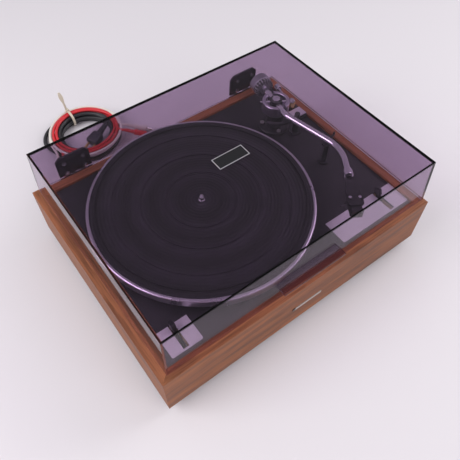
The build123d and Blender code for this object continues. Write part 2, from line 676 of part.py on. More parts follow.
# ---------------------------------------------------------------- arm, swinging part
ACROSS = arm_direction(-90.0)
BACKWARD = arm_direction(0.0)
TILT_WAY = arm_direction(-90.0 - OFFSET)
PIN_R = 1.5
PIN_ENDS = (-23.4, 28.0)
HUB_R = 9.0
TUBE_PLANE = Plane(origin=arm_frame(0, 0, ARM_Z), x_dir=ACROSS, z_dir=BACKWARD)
TILT_PLANE = Plane(origin=arm_frame(0, 0, PIVOT_Z), z_dir=TILT_WAY)
ARM_TOP_PLANE = Plane(origin=arm_frame(0, 0, 0), x_dir=ACROSS, z_dir=(0, 0, 1))
LATERAL_U = 17.6
SLOT_W = 12.0
with BuildPart() as arm_yoke:
    with BuildSketch(ARM_TOP_PLANE.offset(YOKE_FLOOR)):
        Circle(YOKE_R)
    extrude(amount=3.0)
    with BuildSketch(ARM_TOP_PLANE.offset(YOKE_FLOOR + 3.0)):
        Circle(YOKE_R)
        Circle(YOKE_IN, mode=Mode.SUBTRACT)
    extrude(amount=YOKE_TOP - YOKE_FLOOR - 3.0)
    chamfer(arm_yoke.faces().sort_by(Axis.Z)[-1].edges(), 0.6)
    with BuildSketch(ARM_TOP_PLANE.offset(ARM_Z - TUBE_R - 0.9)):
        with Locations((0, -YOKE_R)):
            Rectangle(SLOT_W, 2 * (YOKE_R - YOKE_IN) + 3.0)
    extrude(amount=20.0, mode=Mode.SUBTRACT)
    with BuildSketch(ARM_TOP_PLANE.offset(YOKE_FLOOR)):
        with Locations((0, YOKE_R)):
            Rectangle(SLOT_W, 2 * (YOKE_R - YOKE_IN) + 3.0)
    extrude(amount=30.0, mode=Mode.SUBTRACT)
    with BuildSketch(ARM_TOP_PLANE.offset(YOKE_FLOOR - 20.0)):
        Circle(ARM_SHAFT_R)
    extrude(amount=20.0)
    with BuildSketch(TUBE_PLANE.offset(4.0)):
        with Locations((LATERAL_U, -3.0)):
            Circle(1.4)
    extrude(amount=27.5)
    with BuildSketch(TILT_PLANE.offset(PIN_ENDS[0])):
        Circle(PIN_R)
    extrude(amount=PIN_ENDS[1] - PIN_ENDS[0], mode=Mode.SUBTRACT)
save(arm_yoke, "arm_yoke")

# Pointed pins from both sides carry the tilting part; a locknut holds the outer one
with BuildPart() as pivot_pins:
    with BuildSketch(TILT_PLANE.offset(PIN_ENDS[0])):
        Circle(PIN_R)
    extrude(amount=-PIN_ENDS[0] - HUB_R + 2.0)
    with BuildSketch(TILT_PLANE.offset(HUB_R - 2.0)):
        Circle(PIN_R)
    extrude(amount=PIN_ENDS[1] - HUB_R + 2.0)
    with BuildSketch(TILT_PLANE.offset(YOKE_R + 0.8)):
        RegularPolygon(4.0, 6)
    extrude(amount=5.0)
save(pivot_pins, "pivot_pins")

with BuildPart() as lateral_weight:
    with BuildSketch(TUBE_PLANE.offset(22.5)):
        with Locations((LATERAL_U, -3.0)):
            Circle(4.4)
            Circle(1.4, mode=Mode.SUBTRACT)
    extrude(amount=8.5)
    fillet(lateral_weight.edges().filter_by(GeomType.CIRCLE).group_by(SortBy.RADIUS)[-1], 0.6)
save(lateral_weight, "lateral_weight")

# ---------------------------------------------------------------- arm, tilting part
HUB_BOTTOM = ARM_Z - 5.5
HUB_TOP = ARM_Z + 8.0
with BuildPart() as arm_hub:
    with BuildSketch(ARM_TOP_PLANE.offset(HUB_BOTTOM)):
        Circle(HUB_R)
    extrude(amount=HUB_TOP - HUB_BOTTOM)
    chamfer(arm_hub.faces().sort_by(Axis.Z)[-1].edges(), 0.8)
    with BuildSketch(TUBE_PLANE.offset(-HUB_R - 1.0)):
        Circle(TUBE_R)
    extrude(amount=2 * HUB_R + 2.0, mode=Mode.SUBTRACT)
    with BuildSketch(TILT_PLANE.offset(-HUB_R - 1.0)):
        Circle(PIN_R + RUNNING)
    extrude(amount=3.6, mode=Mode.SUBTRACT)
    with BuildSketch(TILT_PLANE.offset(HUB_R + 1.0)):
        Circle(PIN_R + RUNNING)
    extrude(amount=-3.6, mode=Mode.SUBTRACT)
save(arm_hub, "arm_hub")

with BuildPart() as hub_cap:
    with BuildSketch(ARM_TOP_PLANE.offset(HUB_TOP)):
        Circle(5.8)
    extrude(amount=1.2)
    fillet(hub_cap.faces().sort_by(Axis.Z)[-1].edges(), 0.5)
save(hub_cap, "hub_cap")

# S-shaped tube: straight out of the hub, out by the offset angle, then back in along the headshell.
# Behind the hub it goes on as the solid stub that carries the counterweight
SLOPE = tan(radians(OFFSET))
BEND_V = (ARM_LENGTH + FIRST_BEND) / 2
BEND_U = SLOPE * (BEND_V - FIRST_BEND)
SHELL_RUN = hypot(BEND_U, ARM_LENGTH - BEND_V)
SHELL_WAY = (-BEND_U / SHELL_RUN, -(ARM_LENGTH - BEND_V) / SHELL_RUN)
STUB_END = 56.0
TUBE_END = 48.0
COLLAR_FROM = 41.0
COLLAR_TO = 51.0
NECK_TO = 55.0


def shell_point(along, side, z):
    """A point on the headshell's line, measured from the tube's big bend; side is away from the platter."""
    return arm_frame(
        BEND_U + along * SHELL_WAY[0] - side * SHELL_WAY[1],
        -BEND_V + along * SHELL_WAY[1] + side * SHELL_WAY[0],
        z,
    )


with BuildPart() as arm_tube:
    with BuildLine() as tube_line:
        FilletPolyline(
            arm_frame(0, 0, ARM_Z),
            arm_frame(0, -FIRST_BEND, ARM_Z),
            arm_frame(BEND_U, -BEND_V, ARM_Z),
            shell_point(TUBE_END, 0, ARM_Z),
            radius=[25.0, 58.0],
        )
    with BuildSketch(TUBE_PLANE):
        Circle(TUBE_R)
        Circle(TUBE_R - 0.7, mode=Mode.SUBTRACT)
    sweep()
    with BuildSketch(TUBE_PLANE):
        Circle(TUBE_R)
    extrude(amount=STUB_END)
save(arm_tube, "arm_tube")

shell_start = Vector(*shell_point(0, 0, ARM_Z))
shell_dir = (Vector(*shell_point(1, 0, ARM_Z)) - shell_start).normalized()
shell_side = (Vector(*shell_point(0, 1, ARM_Z)) - shell_start).normalized()
SHELL_PLANE = Plane(origin=shell_start, x_dir=shell_side, z_dir=shell_dir)
SHELL_TOP_PLANE = Plane(origin=Vector(shell_start.X, shell_start.Y, 0), x_dir=shell_dir, z_dir=(0, 0, 1))

with BuildPart() as shell_collar:
    with BuildSketch(SHELL_PLANE.offset(COLLAR_FROM)):
        Circle(6.6)
        Circle(TUBE_R + RUNNING, mode=Mode.SUBTRACT)
    extrude(amount=COLLAR_TO - COLLAR_FROM)
    chamfer(shell_collar.edges().filter_by(GeomType.CIRCLE).group_by(SortBy.RADIUS)[-1], 0.7)
    for k in range(12):
        with BuildSketch(SHELL_PLANE.offset(COLLAR_FROM + 1.5).rotated((0, 0, 30.0 * k))):
            with Locations((6.6, 0)):
                Circle(0.55)
        extrude(amount=COLLAR_TO - COLLAR_FROM - 3.0, mode=Mode.SUBTRACT)
save(shell_collar, "shell_collar")

# Headshell: neck in the collar, then a flat plate that widens, with two slots for the cartridge
PLATE_TOP = ARM_Z + 1.5
PLATE_T = 2.6
PLATE_END = 101.0
SHELL_W = 20.0
CART_AT = 89.0
SLOT_SIDE = 6.35
with BuildPart() as headshell:
    with BuildSketch(SHELL_PLANE.offset(TUBE_END)):
        Circle(TUBE_R)
    extrude(amount=NECK_TO - TUBE_END)
    with BuildSketch(SHELL_TOP_PLANE.offset(PLATE_TOP - PLATE_T)):
        with BuildLine():
            Polyline(
                (NECK_TO - 1.0, -5.5),
                (NECK_TO + 6.0, -7.0),
                (NECK_TO + 22.0, -SHELL_W / 2),
                (PLATE_END - 2.0, -SHELL_W / 2),
                (PLATE_END, -SHELL_W / 2 + 2.0),
                (PLATE_END, SHELL_W / 2 - 2.0),
                (PLATE_END - 2.0, SHELL_W / 2),
                (NECK_TO + 22.0, SHELL_W / 2),
                (NECK_TO + 6.0, 7.0),
                (NECK_TO - 1.0, 5.5),
                close=True,
            )
        make_face()
        with Locations((CART_AT, -SLOT_SIDE), (CART_AT, SLOT_SIDE)):
            SlotOverall(8.0, 2.6, mode=Mode.SUBTRACT)
    extrude(amount=PLATE_T)
    for rail in (-SHELL_W / 2 + 0.8, SHELL_W / 2 - 0.8):
        with BuildSketch(SHELL_TOP_PLANE.offset(PLATE_TOP)):
            with Locations(((NECK_TO + 22.0 + PLATE_END - 3.0) / 2, rail)):
                Rectangle(PLATE_END - NECK_TO - 25.0, 1.4)
        extrude(amount=1.0)
    with BuildSketch(SHELL_TOP_PLANE.offset(PLATE_TOP - 1.2)):
        with BuildLine():
            Polyline(
                (PLATE_END - 8.0, -SHELL_W / 2),
                (PLATE_END - 4.0, -SHELL_W / 2),
                (PLATE_END - 3.0, -SHELL_W / 2 - 6.0),
                (PLATE_END + 1.5, -SHELL_W / 2 - 10.0),
                (PLATE_END - 0.5, -SHELL_W / 2 - 12.0),
                (PLATE_END - 6.0, -SHELL_W / 2 - 7.0),
                close=True,
            )
        make_face()
    extrude(amount=1.0)
save(headshell, "headshell")

CART_TOP = PLATE_TOP - PLATE_T
CART_BOTTOM = NEEDLE_Z + 4.2
with BuildPart() as cartridge:
    with BuildSketch(SHELL_TOP_PLANE.offset(CART_BOTTOM)):
        with Locations((CART_AT + 6.0, 0)):
            RectangleRounded(26.0, 15.0, 1.0)
    extrude(amount=CART_TOP - CART_BOTTOM)
    chamfer(cartridge.faces().sort_by(Axis.Z)[-1].edges(), 0.6)
    with BuildSketch(SHELL_TOP_PLANE.offset(CART_BOTTOM)):
        with Locations((CART_AT, -SLOT_SIDE), (CART_AT, SLOT_SIDE)):
            Circle(1.2)
    extrude(amount=CART_TOP - CART_BOTTOM, mode=Mode.SUBTRACT)
save(cartridge, "cartridge")

with BuildPart() as cartridge_screws:
    with BuildSketch(SHELL_TOP_PLANE.offset(PLATE_TOP)):
        with Locations((CART_AT, -SLOT_SIDE), (CART_AT, SLOT_SIDE)):
            Circle(2.1)
    extrude(amount=1.5)
    with BuildSketch(SHELL_TOP_PLANE.offset(CART_BOTTOM)):
        with Locations((CART_AT, -SLOT_SIDE), (CART_AT, SLOT_SIDE)):
            Circle(1.2)
    extrude(amount=PLATE_TOP - CART_BOTTOM)
save(cartridge_screws, "cartridge_screws")

# Needle block clipped under the cartridge, with its fine tube and the tip
with BuildPart() as needle:
    with BuildSketch(SHELL_TOP_PLANE.offset(NEEDLE_Z + 1.2)):
        with Locations((CART_AT + 6.0, 0)):
            RectangleRounded(22.0, 9.0, 1.0)
    extrude(amount=CART_BOTTOM - NEEDLE_Z - 1.2)
    with Locations(Location(Plane(origin=shell_point(SHELL_RUN, 0, NEEDLE_Z), z_dir=(0, 0, 1)))):
        Cone(0.2, 1.1, 1.4, align=(Align.CENTER, Align.CENTER, Align.MIN))
save(needle, "needle")

# ---------------------------------------------------------------- counterweight
WEIGHT_NECK_R = 8.0
DIAL_FROM = 35.4
WEIGHT_FROM = 41.5
WEIGHT_TO = 55.0
WEIGHT_R = 15.2
with BuildPart() as counterweight:
    with BuildSketch(TUBE_PLANE.offset(WEIGHT_FROM)):
        Circle(WEIGHT_R)
    extrude(amount=WEIGHT_TO - WEIGHT_FROM)
    fillet(counterweight.edges().filter_by(GeomType.CIRCLE), 1.2)
    with BuildSketch(TUBE_PLANE.offset(DIAL_FROM - 1.2)):
        Circle(WEIGHT_NECK_R)
    extrude(amount=WEIGHT_FROM - DIAL_FROM + 2.0)
    with BuildSketch(TUBE_PLANE.offset(DIAL_FROM - 1.2)):
        Circle(TUBE_R + RUNNING)
    extrude(amount=WEIGHT_TO - DIAL_FROM + 2.0, mode=Mode.SUBTRACT)
save(counterweight, "counterweight")

with BuildPart() as counterweight_dial:
    with BuildSketch(TUBE_PLANE.offset(DIAL_FROM)):
        Circle(WEIGHT_R - 0.3)
    extrude(amount=WEIGHT_FROM - DIAL_FROM - 0.3)
    chamfer(counterweight_dial.edges().filter_by(GeomType.CIRCLE).group_by(Axis.Y)[0], 1.0)
    with BuildSketch(TUBE_PLANE.offset(DIAL_FROM)):
        Circle(WEIGHT_NECK_R + RUNNING)
    extrude(amount=WEIGHT_FROM - DIAL_FROM, mode=Mode.SUBTRACT)
save(counterweight_dial, "counterweight_dial")

# ---------------------------------------------------------------- arm rest
REST_V = 98.4
REST_U = SLOPE * (REST_V - FIRST_BEND)
REST_OUT = 2.6
CLIP_PIN = (7.6, 133.0)
CLIP_PIN_R = 0.8
CLIP_T = 2.4
rest_way = Vector(*arm_frame(SLOPE, -1.0, 0)) - Vector(*arm_frame(0, 0, 0))
rest_way = rest_way.normalized()
rest_side = Vector(0, 0, 1).cross(rest_way)
REST_SECTION = Plane(origin=arm_frame(REST_U, -REST_V, 0), x_dir=rest_side, z_dir=rest_way)
REST_TOP_PLANE = Plane(origin=arm_frame(REST_U, -REST_V, 0), x_dir=rest_side, z_dir=(0, 0, 1))
with BuildPart() as arm_rest:
    with BuildSketch(REST_TOP_PLANE.offset(DECK_TOP)):
        with Locations((REST_OUT, 0)):
            Circle(8.0)
    extrude(amount=2.5)
    with BuildSketch(REST_TOP_PLANE.offset(DECK_TOP)):
        with Locations((REST_OUT, 0)):
            Circle(4.0)
    extrude(amount=36.0)
    with BuildSketch(REST_SECTION.offset(-3.5)):
        with BuildLine():
            Polyline(
                (-6.5, ARM_Z - TUBE_R - 0.3),
                (-6.5, ARM_Z - TUBE_R - 3.0),
                (-2.0, ARM_Z - TUBE_R - 6.0),
                (7.0, ARM_Z - TUBE_R - 6.0),
                (9.4, ARM_Z - TUBE_R - 3.0),
                (9.4, CLIP_PIN[1] + 1.6),
                (5.4, CLIP_PIN[1] + 1.6),
                (5.4, ARM_Z - TUBE_R - 0.3),
                close=True,
            )
        make_face()
    extrude(amount=7.0)
    with BuildSketch(REST_SECTION.offset(-CLIP_T / 2 - 0.1)):
        with Locations((CLIP_PIN[0] + 0.5, CLIP_PIN[1] + 1.0)):
            Rectangle(7.0, 6.0)
    extrude(amount=CLIP_T + 0.2, mode=Mode.SUBTRACT)
    with BuildSketch(REST_SECTION.offset(-3.5)):
        with Locations(CLIP_PIN):
            Circle(CLIP_PIN_R)
    extrude(amount=7.0)
save(arm_rest, "arm_rest")

with BuildPart() as arm_rest_clip:
    with BuildSketch(REST_SECTION.offset(-CLIP_T / 2)):
        with BuildLine():
            Polyline(
                (CLIP_PIN[0], CLIP_PIN[1] - 1.4),
                (CLIP_PIN[0] + 10.2, CLIP_PIN[1] - 1.4),
                (CLIP_PIN[0] + 10.2, CLIP_PIN[1] + 5.5),
                (CLIP_PIN[0] + 8.0, CLIP_PIN[1] + 5.5),
                (CLIP_PIN[0] + 8.0, CLIP_PIN[1] + 1.4),
                (CLIP_PIN[0], CLIP_PIN[1] + 1.4),
                close=True,
            )
        make_face()
        with Locations(CLIP_PIN):
            Circle(1.4)
            Circle(CLIP_PIN_R + RUNNING, mode=Mode.SUBTRACT)
    extrude(amount=CLIP_T)
save(arm_rest_clip, "arm_rest_clip")

# ---------------------------------------------------------------- arm lift
PISTON_R = 3.0
LIFT_TOP = ARM_Z - TUBE_R - 3.4
LIFT_PLATE = 3.0
LIFT_BARREL = (CHASSIS_BOTTOM - 10.0, LIFT_TOP - LIFT_PLATE - 8.0)
with BuildPart() as lift_cylinder:
    with BuildSketch(Plane.XY.offset(LIFT_BARREL[0])):
        with Locations(LIFT_POST):
            Circle(LIFT_BARREL_R)
    extrude(amount=LIFT_BARREL[1] - LIFT_BARREL[0])
    with BuildSketch(Plane.XY.offset(DECK_TOP)):
        with Locations(LIFT_POST):
            Circle(8.5)
    extrude(amount=3.0)
    with BuildSketch(Plane.XY.offset(LIFT_BARREL[0] + 3.0)):
        with Locations(LIFT_POST):
            Circle(PISTON_R + RUNNING)
    extrude(amount=LIFT_BARREL[1] - LIFT_BARREL[0], mode=Mode.SUBTRACT)
save(lift_cylinder, "lift_cylinder")

# Bar bent round the pivot: the tube crosses it wherever the arm stands
LIFT_ARC = (-55.0, -150.0)
LIFT_BAR = 5.0
with BuildPart() as lift_platform:
    with BuildSketch(Plane.XY.offset(LIFT_TOP - LIFT_PLATE)):
        with BuildLine():
            CenterArc(PIVOT, LIFT_PIVOT_R + LIFT_BAR / 2, LIFT_ARC[0], LIFT_ARC[1] - LIFT_ARC[0])
            CenterArc(PIVOT, LIFT_PIVOT_R - LIFT_BAR / 2, LIFT_ARC[0], LIFT_ARC[1] - LIFT_ARC[0])
            for end in LIFT_ARC:
                Line(
                    arc_point(end, LIFT_PIVOT_R + LIFT_BAR / 2),
                    arc_point(end, LIFT_PIVOT_R - LIFT_BAR / 2),
                )
        make_face()
        with Locations(LIFT_POST):
            Circle(4.0)
    extrude(amount=LIFT_PLATE)
    with BuildSketch(Plane.XY.offset(LIFT_BARREL[0] + 8.0)):
        with Locations(LIFT_POST):
            Circle(PISTON_R)
    extrude(amount=LIFT_TOP - LIFT_PLATE - LIFT_BARREL[0] - 8.0)
save(lift_platform, "lift_platform")

# ---------------------------------------------------------------- block beside the arm
BLOCK_TOP = DECK_TOP + 5.0
SIDE_BLOCK = (176.0, 199.0, 62.0, 100.0)
LABEL = (177.0, 199.0, 65.0, 82.0)
KNOB_POST_R = 2.0
with BuildPart() as arm_side_block:
    with BuildSketch(Plane.XY.offset(DECK_TOP)):
        with Locations(((SIDE_BLOCK[0] + SIDE_BLOCK[1]) / 2, (SIDE_BLOCK[2] + SIDE_BLOCK[3]) / 2)):
            RectangleRounded(SIDE_BLOCK[1] - SIDE_BLOCK[0], SIDE_BLOCK[3] - SIDE_BLOCK[2], 1.5)
    extrude(amount=BLOCK_TOP - DECK_TOP)
    with BuildSketch(Plane.XY.offset(DECK_TOP + 1.0)):
        with Locations(KNOB):
            Circle(KNOB_POST_R + RUNNING)
    extrude(amount=BLOCK_TOP - DECK_TOP, mode=Mode.SUBTRACT)
save(arm_side_block, "arm_side_block")

with BuildPart() as arm_label_plate:
    with BuildSketch(Plane.XY.offset(BLOCK_TOP)):
        with Locations(((LABEL[0] + LABEL[1]) / 2, (LABEL[2] + LABEL[3]) / 2)):
            Rectangle(LABEL[1] - LABEL[0], LABEL[3] - LABEL[2])
    extrude(amount=1.0)
save(arm_label_plate, "arm_label_plate")

# Knurled knob for the side force on the arm; its post turns in the block
KNOB_R = 6.0
KNOB_TOP = BLOCK_TOP + 10.0
with BuildPart() as anti_skate_knob:
    with BuildSketch(Plane.XY.offset(BLOCK_TOP + 0.4)):
        with Locations(KNOB):
            Circle(KNOB_R)
            with PolarLocations(KNOB_R, 18):
                Circle(0.45, mode=Mode.SUBTRACT)
    extrude(amount=KNOB_TOP - BLOCK_TOP - 0.4)
    with BuildSketch(Plane.XY.offset(KNOB_TOP)):
        with Locations((KNOB[0], KNOB[1] - 3.0)):
            Rectangle(0.8, 5.0)
    extrude(amount=-0.6, mode=Mode.SUBTRACT)
    with BuildSketch(Plane.XY.offset(DECK_TOP + 1.5)):
        with Locations(KNOB):
            Circle(KNOB_POST_R)
    extrude(amount=BLOCK_TOP - DECK_TOP)
save(anti_skate_knob, "anti_skate_knob")

# ---------------------------------------------------------------- cover
GRIP = (-45.3, 52.7, 112.5, 115.5)
GRIP_FRONT = -170.0
COVER_HEIGHT = COVER_TOP - COVER_BOTTOM
COVER_REAR_LOW = COVER_MID[1] + COVER_FOOT[1] / 2
COVER_REAR_HIGH = COVER_MID[1] + COVER_CROWN[1] / 2
COVER_LEAN = (COVER_REAR_LOW - COVER_REAR_HIGH) / COVER_HEIGHT


def cover_rear(z):
    """Where the outside of the cover's rear wall stands at a height."""
    return COVER_REAR_LOW - COVER_LEAN * (z - COVER_BOTTOM)


LEAF_SCREW_X = 14.0
LEAF_SCREW_Z = (106.0, 125.0)
LEAF_SCREW_R = 1.6
with BuildPart() as dust_cover:
    with BuildSketch(Plane.XY.offset(COVER_BOTTOM)):
        with Locations(COVER_MID):
            Rectangle(COVER_FOOT[0], COVER_FOOT[1])
    with BuildSketch(Plane.XY.offset(COVER_TOP)):
        with Locations(COVER_MID):
            Rectangle(COVER_CROWN[0], COVER_CROWN[1])
    loft()
    with BuildSketch(Plane.XY.offset(COVER_BOTTOM)):
        with Locations(COVER_MID):
            Rectangle(COVER_FOOT[0] - 2 * COVER_WALL, COVER_FOOT[1] - 2 * COVER_WALL)
    with BuildSketch(Plane.XY.offset(COVER_TOP - COVER_WALL)):
        with Locations(COVER_MID):
            Rectangle(COVER_CROWN[0] - 2 * COVER_WALL, COVER_CROWN[1] - 2 * COVER_WALL)
    loft(mode=Mode.SUBTRACT)
    with BuildSketch(Plane.XY.offset(GRIP[2])):
        with Locations(((GRIP[0] + GRIP[1]) / 2, (GRIP_FRONT - 159.5) / 2)):
            Rectangle(GRIP[1] - GRIP[0], -159.5 - GRIP_FRONT)
    extrude(amount=GRIP[3] - GRIP[2])
    for hinge_x in HINGE_X:
        with BuildSketch(Plane.XZ.offset(-COVER_REAR_LOW)):
            for screw_z in LEAF_SCREW_Z:
                with Locations((hinge_x - LEAF_SCREW_X, screw_z), (hinge_x + LEAF_SCREW_X, screw_z)):
                    Circle(LEAF_SCREW_R)
        extrude(amount=10.0, mode=Mode.SUBTRACT)
save(dust_cover, "dust_cover")

with BuildPart() as cover_badge:
    with BuildSketch(Plane.XY.offset(COVER_TOP)):
        with Locations((4.7, 4.3)):
            Rectangle(47.0, 19.5)
    extrude(amount=0.8)
save(cover_badge, "cover_badge")

# ---------------------------------------------------------------- hinges
# Each leaf is screwed to the cover from inside; its barrel turns on a pin held by two ears on the plinth
LEAF_LOW = 98.0
LEAF_HIGH = 134.0
LEAF_T = 3.0
LEAF_W = 50.0
BARREL_R = 5.0
PIN = 2.5
KNUCKLE = 15.0
EAR_OUT = 15.5
BRACKET_T = 2.5
with BuildPart() as hinge_leaves:
    for hinge_x in HINGE_X:
        with BuildSketch(Plane.YZ.offset(hinge_x - LEAF_W / 2)):
            with BuildLine():
                Polyline(
                    (cover_rear(LEAF_LOW), LEAF_LOW),
                    (cover_rear(LEAF_LOW) + LEAF_T, LEAF_LOW),
                    (cover_rear(LEAF_HIGH) + LEAF_T, LEAF_HIGH),
                    (cover_rear(LEAF_HIGH), LEAF_HIGH),
                    close=True,
                )
            make_face()
        extrude(amount=LEAF_W)
        with BuildSketch(Plane.YZ.offset(hinge_x - KNUCKLE / 2)):
            with Locations((HINGE_Y, HINGE_Z)):
                Circle(BARREL_R)
            with Locations((cover_rear(HINGE_Z) + 4.0, HINGE_Z + 0.5)):
                Rectangle(6.0, 7.0)
        extrude(amount=KNUCKLE)
        with BuildSketch(Plane.YZ.offset(hinge_x - KNUCKLE / 2)):
            with Locations((HINGE_Y, HINGE_Z)):
                Circle(PIN + 0.05)
        extrude(amount=KNUCKLE, mode=Mode.SUBTRACT)
        with BuildSketch(Plane.XZ.offset(-COVER_REAR_LOW - 3.0)):
            for screw_z in LEAF_SCREW_Z:
                with Locations((hinge_x - LEAF_SCREW_X, screw_z), (hinge_x + LEAF_SCREW_X, screw_z)):
                    Circle(LEAF_SCREW_R)
        extrude(amount=6.0, mode=Mode.SUBTRACT)
        with BuildSketch(Plane.XZ.offset(-COVER_REAR_LOW - 6.0)):
            for side in (-1, 1):
                with Locations(Location((hinge_x + side * LEAF_W / 2, LEAF_HIGH), 45.0)):
                    Rectangle(9.0, 9.0)
        extrude(amount=14.0, mode=Mode.SUBTRACT)
save(hinge_leaves, "hinge_leaves")

with BuildPart() as hinge_screws:
    for hinge_x in HINGE_X:
        for screw_z in LEAF_SCREW_Z:
            inside = cover_rear(screw_z) - COVER_WALL
            with BuildSketch(Plane.XZ.offset(-cover_rear(screw_z) - LEAF_T + 0.4)):
                with Locations((hinge_x - LEAF_SCREW_X, screw_z), (hinge_x + LEAF_SCREW_X, screw_z)):
                    Circle(LEAF_SCREW_R)
            extrude(amount=LEAF_T - 0.4 + COVER_WALL + 1.0)
            with BuildSketch(Plane.XZ.offset(-inside + 0.4)):
                with Locations((hinge_x - LEAF_SCREW_X, screw_z), (hinge_x + LEAF_SCREW_X, screw_z)):
                    Circle(3.4)
            extrude(amount=1.8)
            with BuildSketch(Plane.XZ.offset(-inside + 2.2)):
                with Locations((hinge_x - LEAF_SCREW_X, screw_z), (hinge_x + LEAF_SCREW_X, screw_z)):
                    Rectangle(4.4, 0.8)
                    Rectangle(0.8, 4.4)
            extrude(amount=-0.9, mode=Mode.SUBTRACT)
save(hinge_screws, "hinge_screws")

with BuildPart() as hinge_brackets:
    for hinge_x in HINGE_X:
        with BuildSketch(Plane.XZ.offset(-OUT_Y - BRACKET_T)):
            with Locations((hinge_x, BRACKET_MID)):
                RectangleRounded(BRACKET[0], BRACKET[1], 3.0)
            with Locations((hinge_x, BRACKET_MID)):
                with GridLocations(BRACKET_SCREWS[0], BRACKET_SCREWS[1], 2, 2):
                    Circle(SCREW_R, mode=Mode.SUBTRACT)
        extrude(amount=BRACKET_T)
        for ear_x in (hinge_x - EAR_OUT, hinge_x + KNUCKLE / 2 + 0.3):
            with BuildSketch(Plane.YZ.offset(ear_x)):
                with Locations((HINGE_Y, HINGE_Z)):
                    Circle(BARREL_R)
                with Locations((OUT_Y + BRACKET_T / 2 + 0.5, 82.0)):
                    Rectangle(BRACKET_T - 1.0, 18.0)
                make_hull()
            extrude(amount=EAR_OUT - KNUCKLE / 2 - 0.3)
        with BuildSketch(Plane.YZ.offset(hinge_x - EAR_OUT)):
            with Locations((HINGE_Y, HINGE_Z)):
                Circle(PIN)
        extrude(amount=2 * EAR_OUT)
save(hinge_brackets, "hinge_brackets")

# ---------------------------------------------------------------- badge on the front
BADGE = (49.0, 5.0)
with BuildPart() as front_badge:
    with BuildSketch(Plane.XZ.offset(OUT_Y)):
        with Locations((0, 50.0)):
            RectangleRounded(BADGE[0], BADGE[1], 1.0)
    extrude(amount=0.8)
save(front_badge, "front_badge")

# ---------------------------------------------------------------- screws under and behind the plinth
with BuildPart() as base_screws:
    with BuildSketch(Plane.XY.offset(FEET_HEIGHT - 1.6)):
        with GridLocations(2 * BLOCK_X, 2 * BLOCK_Y, 2, 2):
            Circle(3.4)
    extrude(amount=1.6)
    with BuildSketch(Plane.XY.offset(FEET_HEIGHT)):
        with GridLocations(2 * BLOCK_X, 2 * BLOCK_Y, 2, 2):
            Circle(SCREW_R)
    extrude(amount=18.0)
    with BuildSketch(Plane.XY.offset(FOOT_RECESS - 2.0)):
        with GridLocations(2 * FOOT_X, 2 * FOOT_Y, 2, 2):
            Circle(3.6)
    extrude(amount=2.0)
    with BuildSketch(Plane.XY.offset(FOOT_RECESS)):
        with GridLocations(2 * FOOT_X, 2 * FOOT_Y, 2, 2):
            Circle(SCREW_R)
    extrude(amount=FLOOR_TOP + 3.0 - FOOT_RECESS)
    with BuildSketch(Plane.XY.offset(CHASSIS_BOTTOM - 6.0)):
        with Locations(SPINDLE):
            with PolarLocations(18.0, 3, start_angle=90):
                Circle(3.0)
    extrude(amount=2.0)
    with BuildSketch(Plane.XY.offset(CHASSIS_BOTTOM - 4.0)):
        with Locations(SPINDLE):
            with PolarLocations(18.0, 3, start_angle=90):
                Circle(1.5)
    extrude(amount=4.0)
    with BuildSketch(Plane.XY.offset(MOTOR_HEAD - 4.0)):
        with Locations(MOTOR):
            with PolarLocations(EAR_R, 3, start_angle=EAR_TURN):
                Circle(4.0)
    extrude(amount=2.0)
    with BuildSketch(Plane.XY.offset(MOTOR_HEAD - 2.0)):
        with Locations(MOTOR):
            with PolarLocations(EAR_R, 3, start_angle=EAR_TURN):
                Circle(SCREW_R)
    extrude(amount=CHASSIS_BOTTOM + 8.0 - MOTOR_HEAD + 2.0)
    for hinge_x in HINGE_X:
        with BuildSketch(Plane.XZ.offset(-OUT_Y - BRACKET_T - 1.8)):
            with Locations((hinge_x, BRACKET_MID)):
                with GridLocations(BRACKET_SCREWS[0], BRACKET_SCREWS[1], 2, 2):
                    Circle(3.2)
        extrude(amount=1.8)
        with BuildSketch(Plane.XZ.offset(-OUT_Y - BRACKET_T)):
            with Locations((hinge_x, BRACKET_MID)):
                with GridLocations(BRACKET_SCREWS[0], BRACKET_SCREWS[1], 2, 2):
                    Circle(SCREW_R)
        extrude(amount=BRACKET_T + BRACKET_SCREW_DEPTH)
save(base_screws, "base_screws")

# ---------------------------------------------------------------- leads
RELIEF_END = 197.0
PHONO_END = 185.0
RELIEF_SECTION = Plane(origin=(MAINS_EXIT[0], 0, MAINS_EXIT[2]), x_dir=(1, 0, 0), z_dir=(0, 0, 1))
with BuildPart() as cord_reliefs:
    with BuildSketch(RELIEF_SECTION):
        with BuildLine():
            Polyline(
                (0, INNER_Y - 3.0),
                (8.0, INNER_Y - 3.0),
                (8.0, INNER_Y),
                (6.5, INNER_Y),
                (6.5, OUT_Y),
                (9.0, OUT_Y),
                (9.0, OUT_Y + 2.5),
                (7.0, OUT_Y + 2.5),
                (MAINS_D / 2 + 1.2, RELIEF_END),
                (0, RELIEF_END),
                close=True,
            )
        make_face()
    revolve(axis=Axis(MAINS_EXIT, (0, 1, 0)))
    with BuildSketch(Plane.XZ.offset(-OUT_Y)):
        with Locations((PHONO_MID_X, MAINS_EXIT[2])):
            SlotOverall(17.0, 9.0)
    extrude(amount=BOARD)
    with BuildSketch(Plane.XZ.offset(-OUT_Y - 2.5)):
        with Locations((PHONO_MID_X, MAINS_EXIT[2])):
            SlotOverall(20.0, 12.0)
    extrude(amount=2.5)
    for exit_point in PHONO_EXITS:
        with BuildSketch(Plane.XZ.offset(-OUT_Y - 2.5)):
            with Locations((exit_point[0], exit_point[2])):
                Circle(3.4)
        with BuildSketch(Plane.XZ.offset(-PHONO_END)):
            with Locations((exit_point[0], exit_point[2])):
                Circle(PHONO_D / 2 + 0.6)
        loft()
save(cord_reliefs, "cord_reliefs")


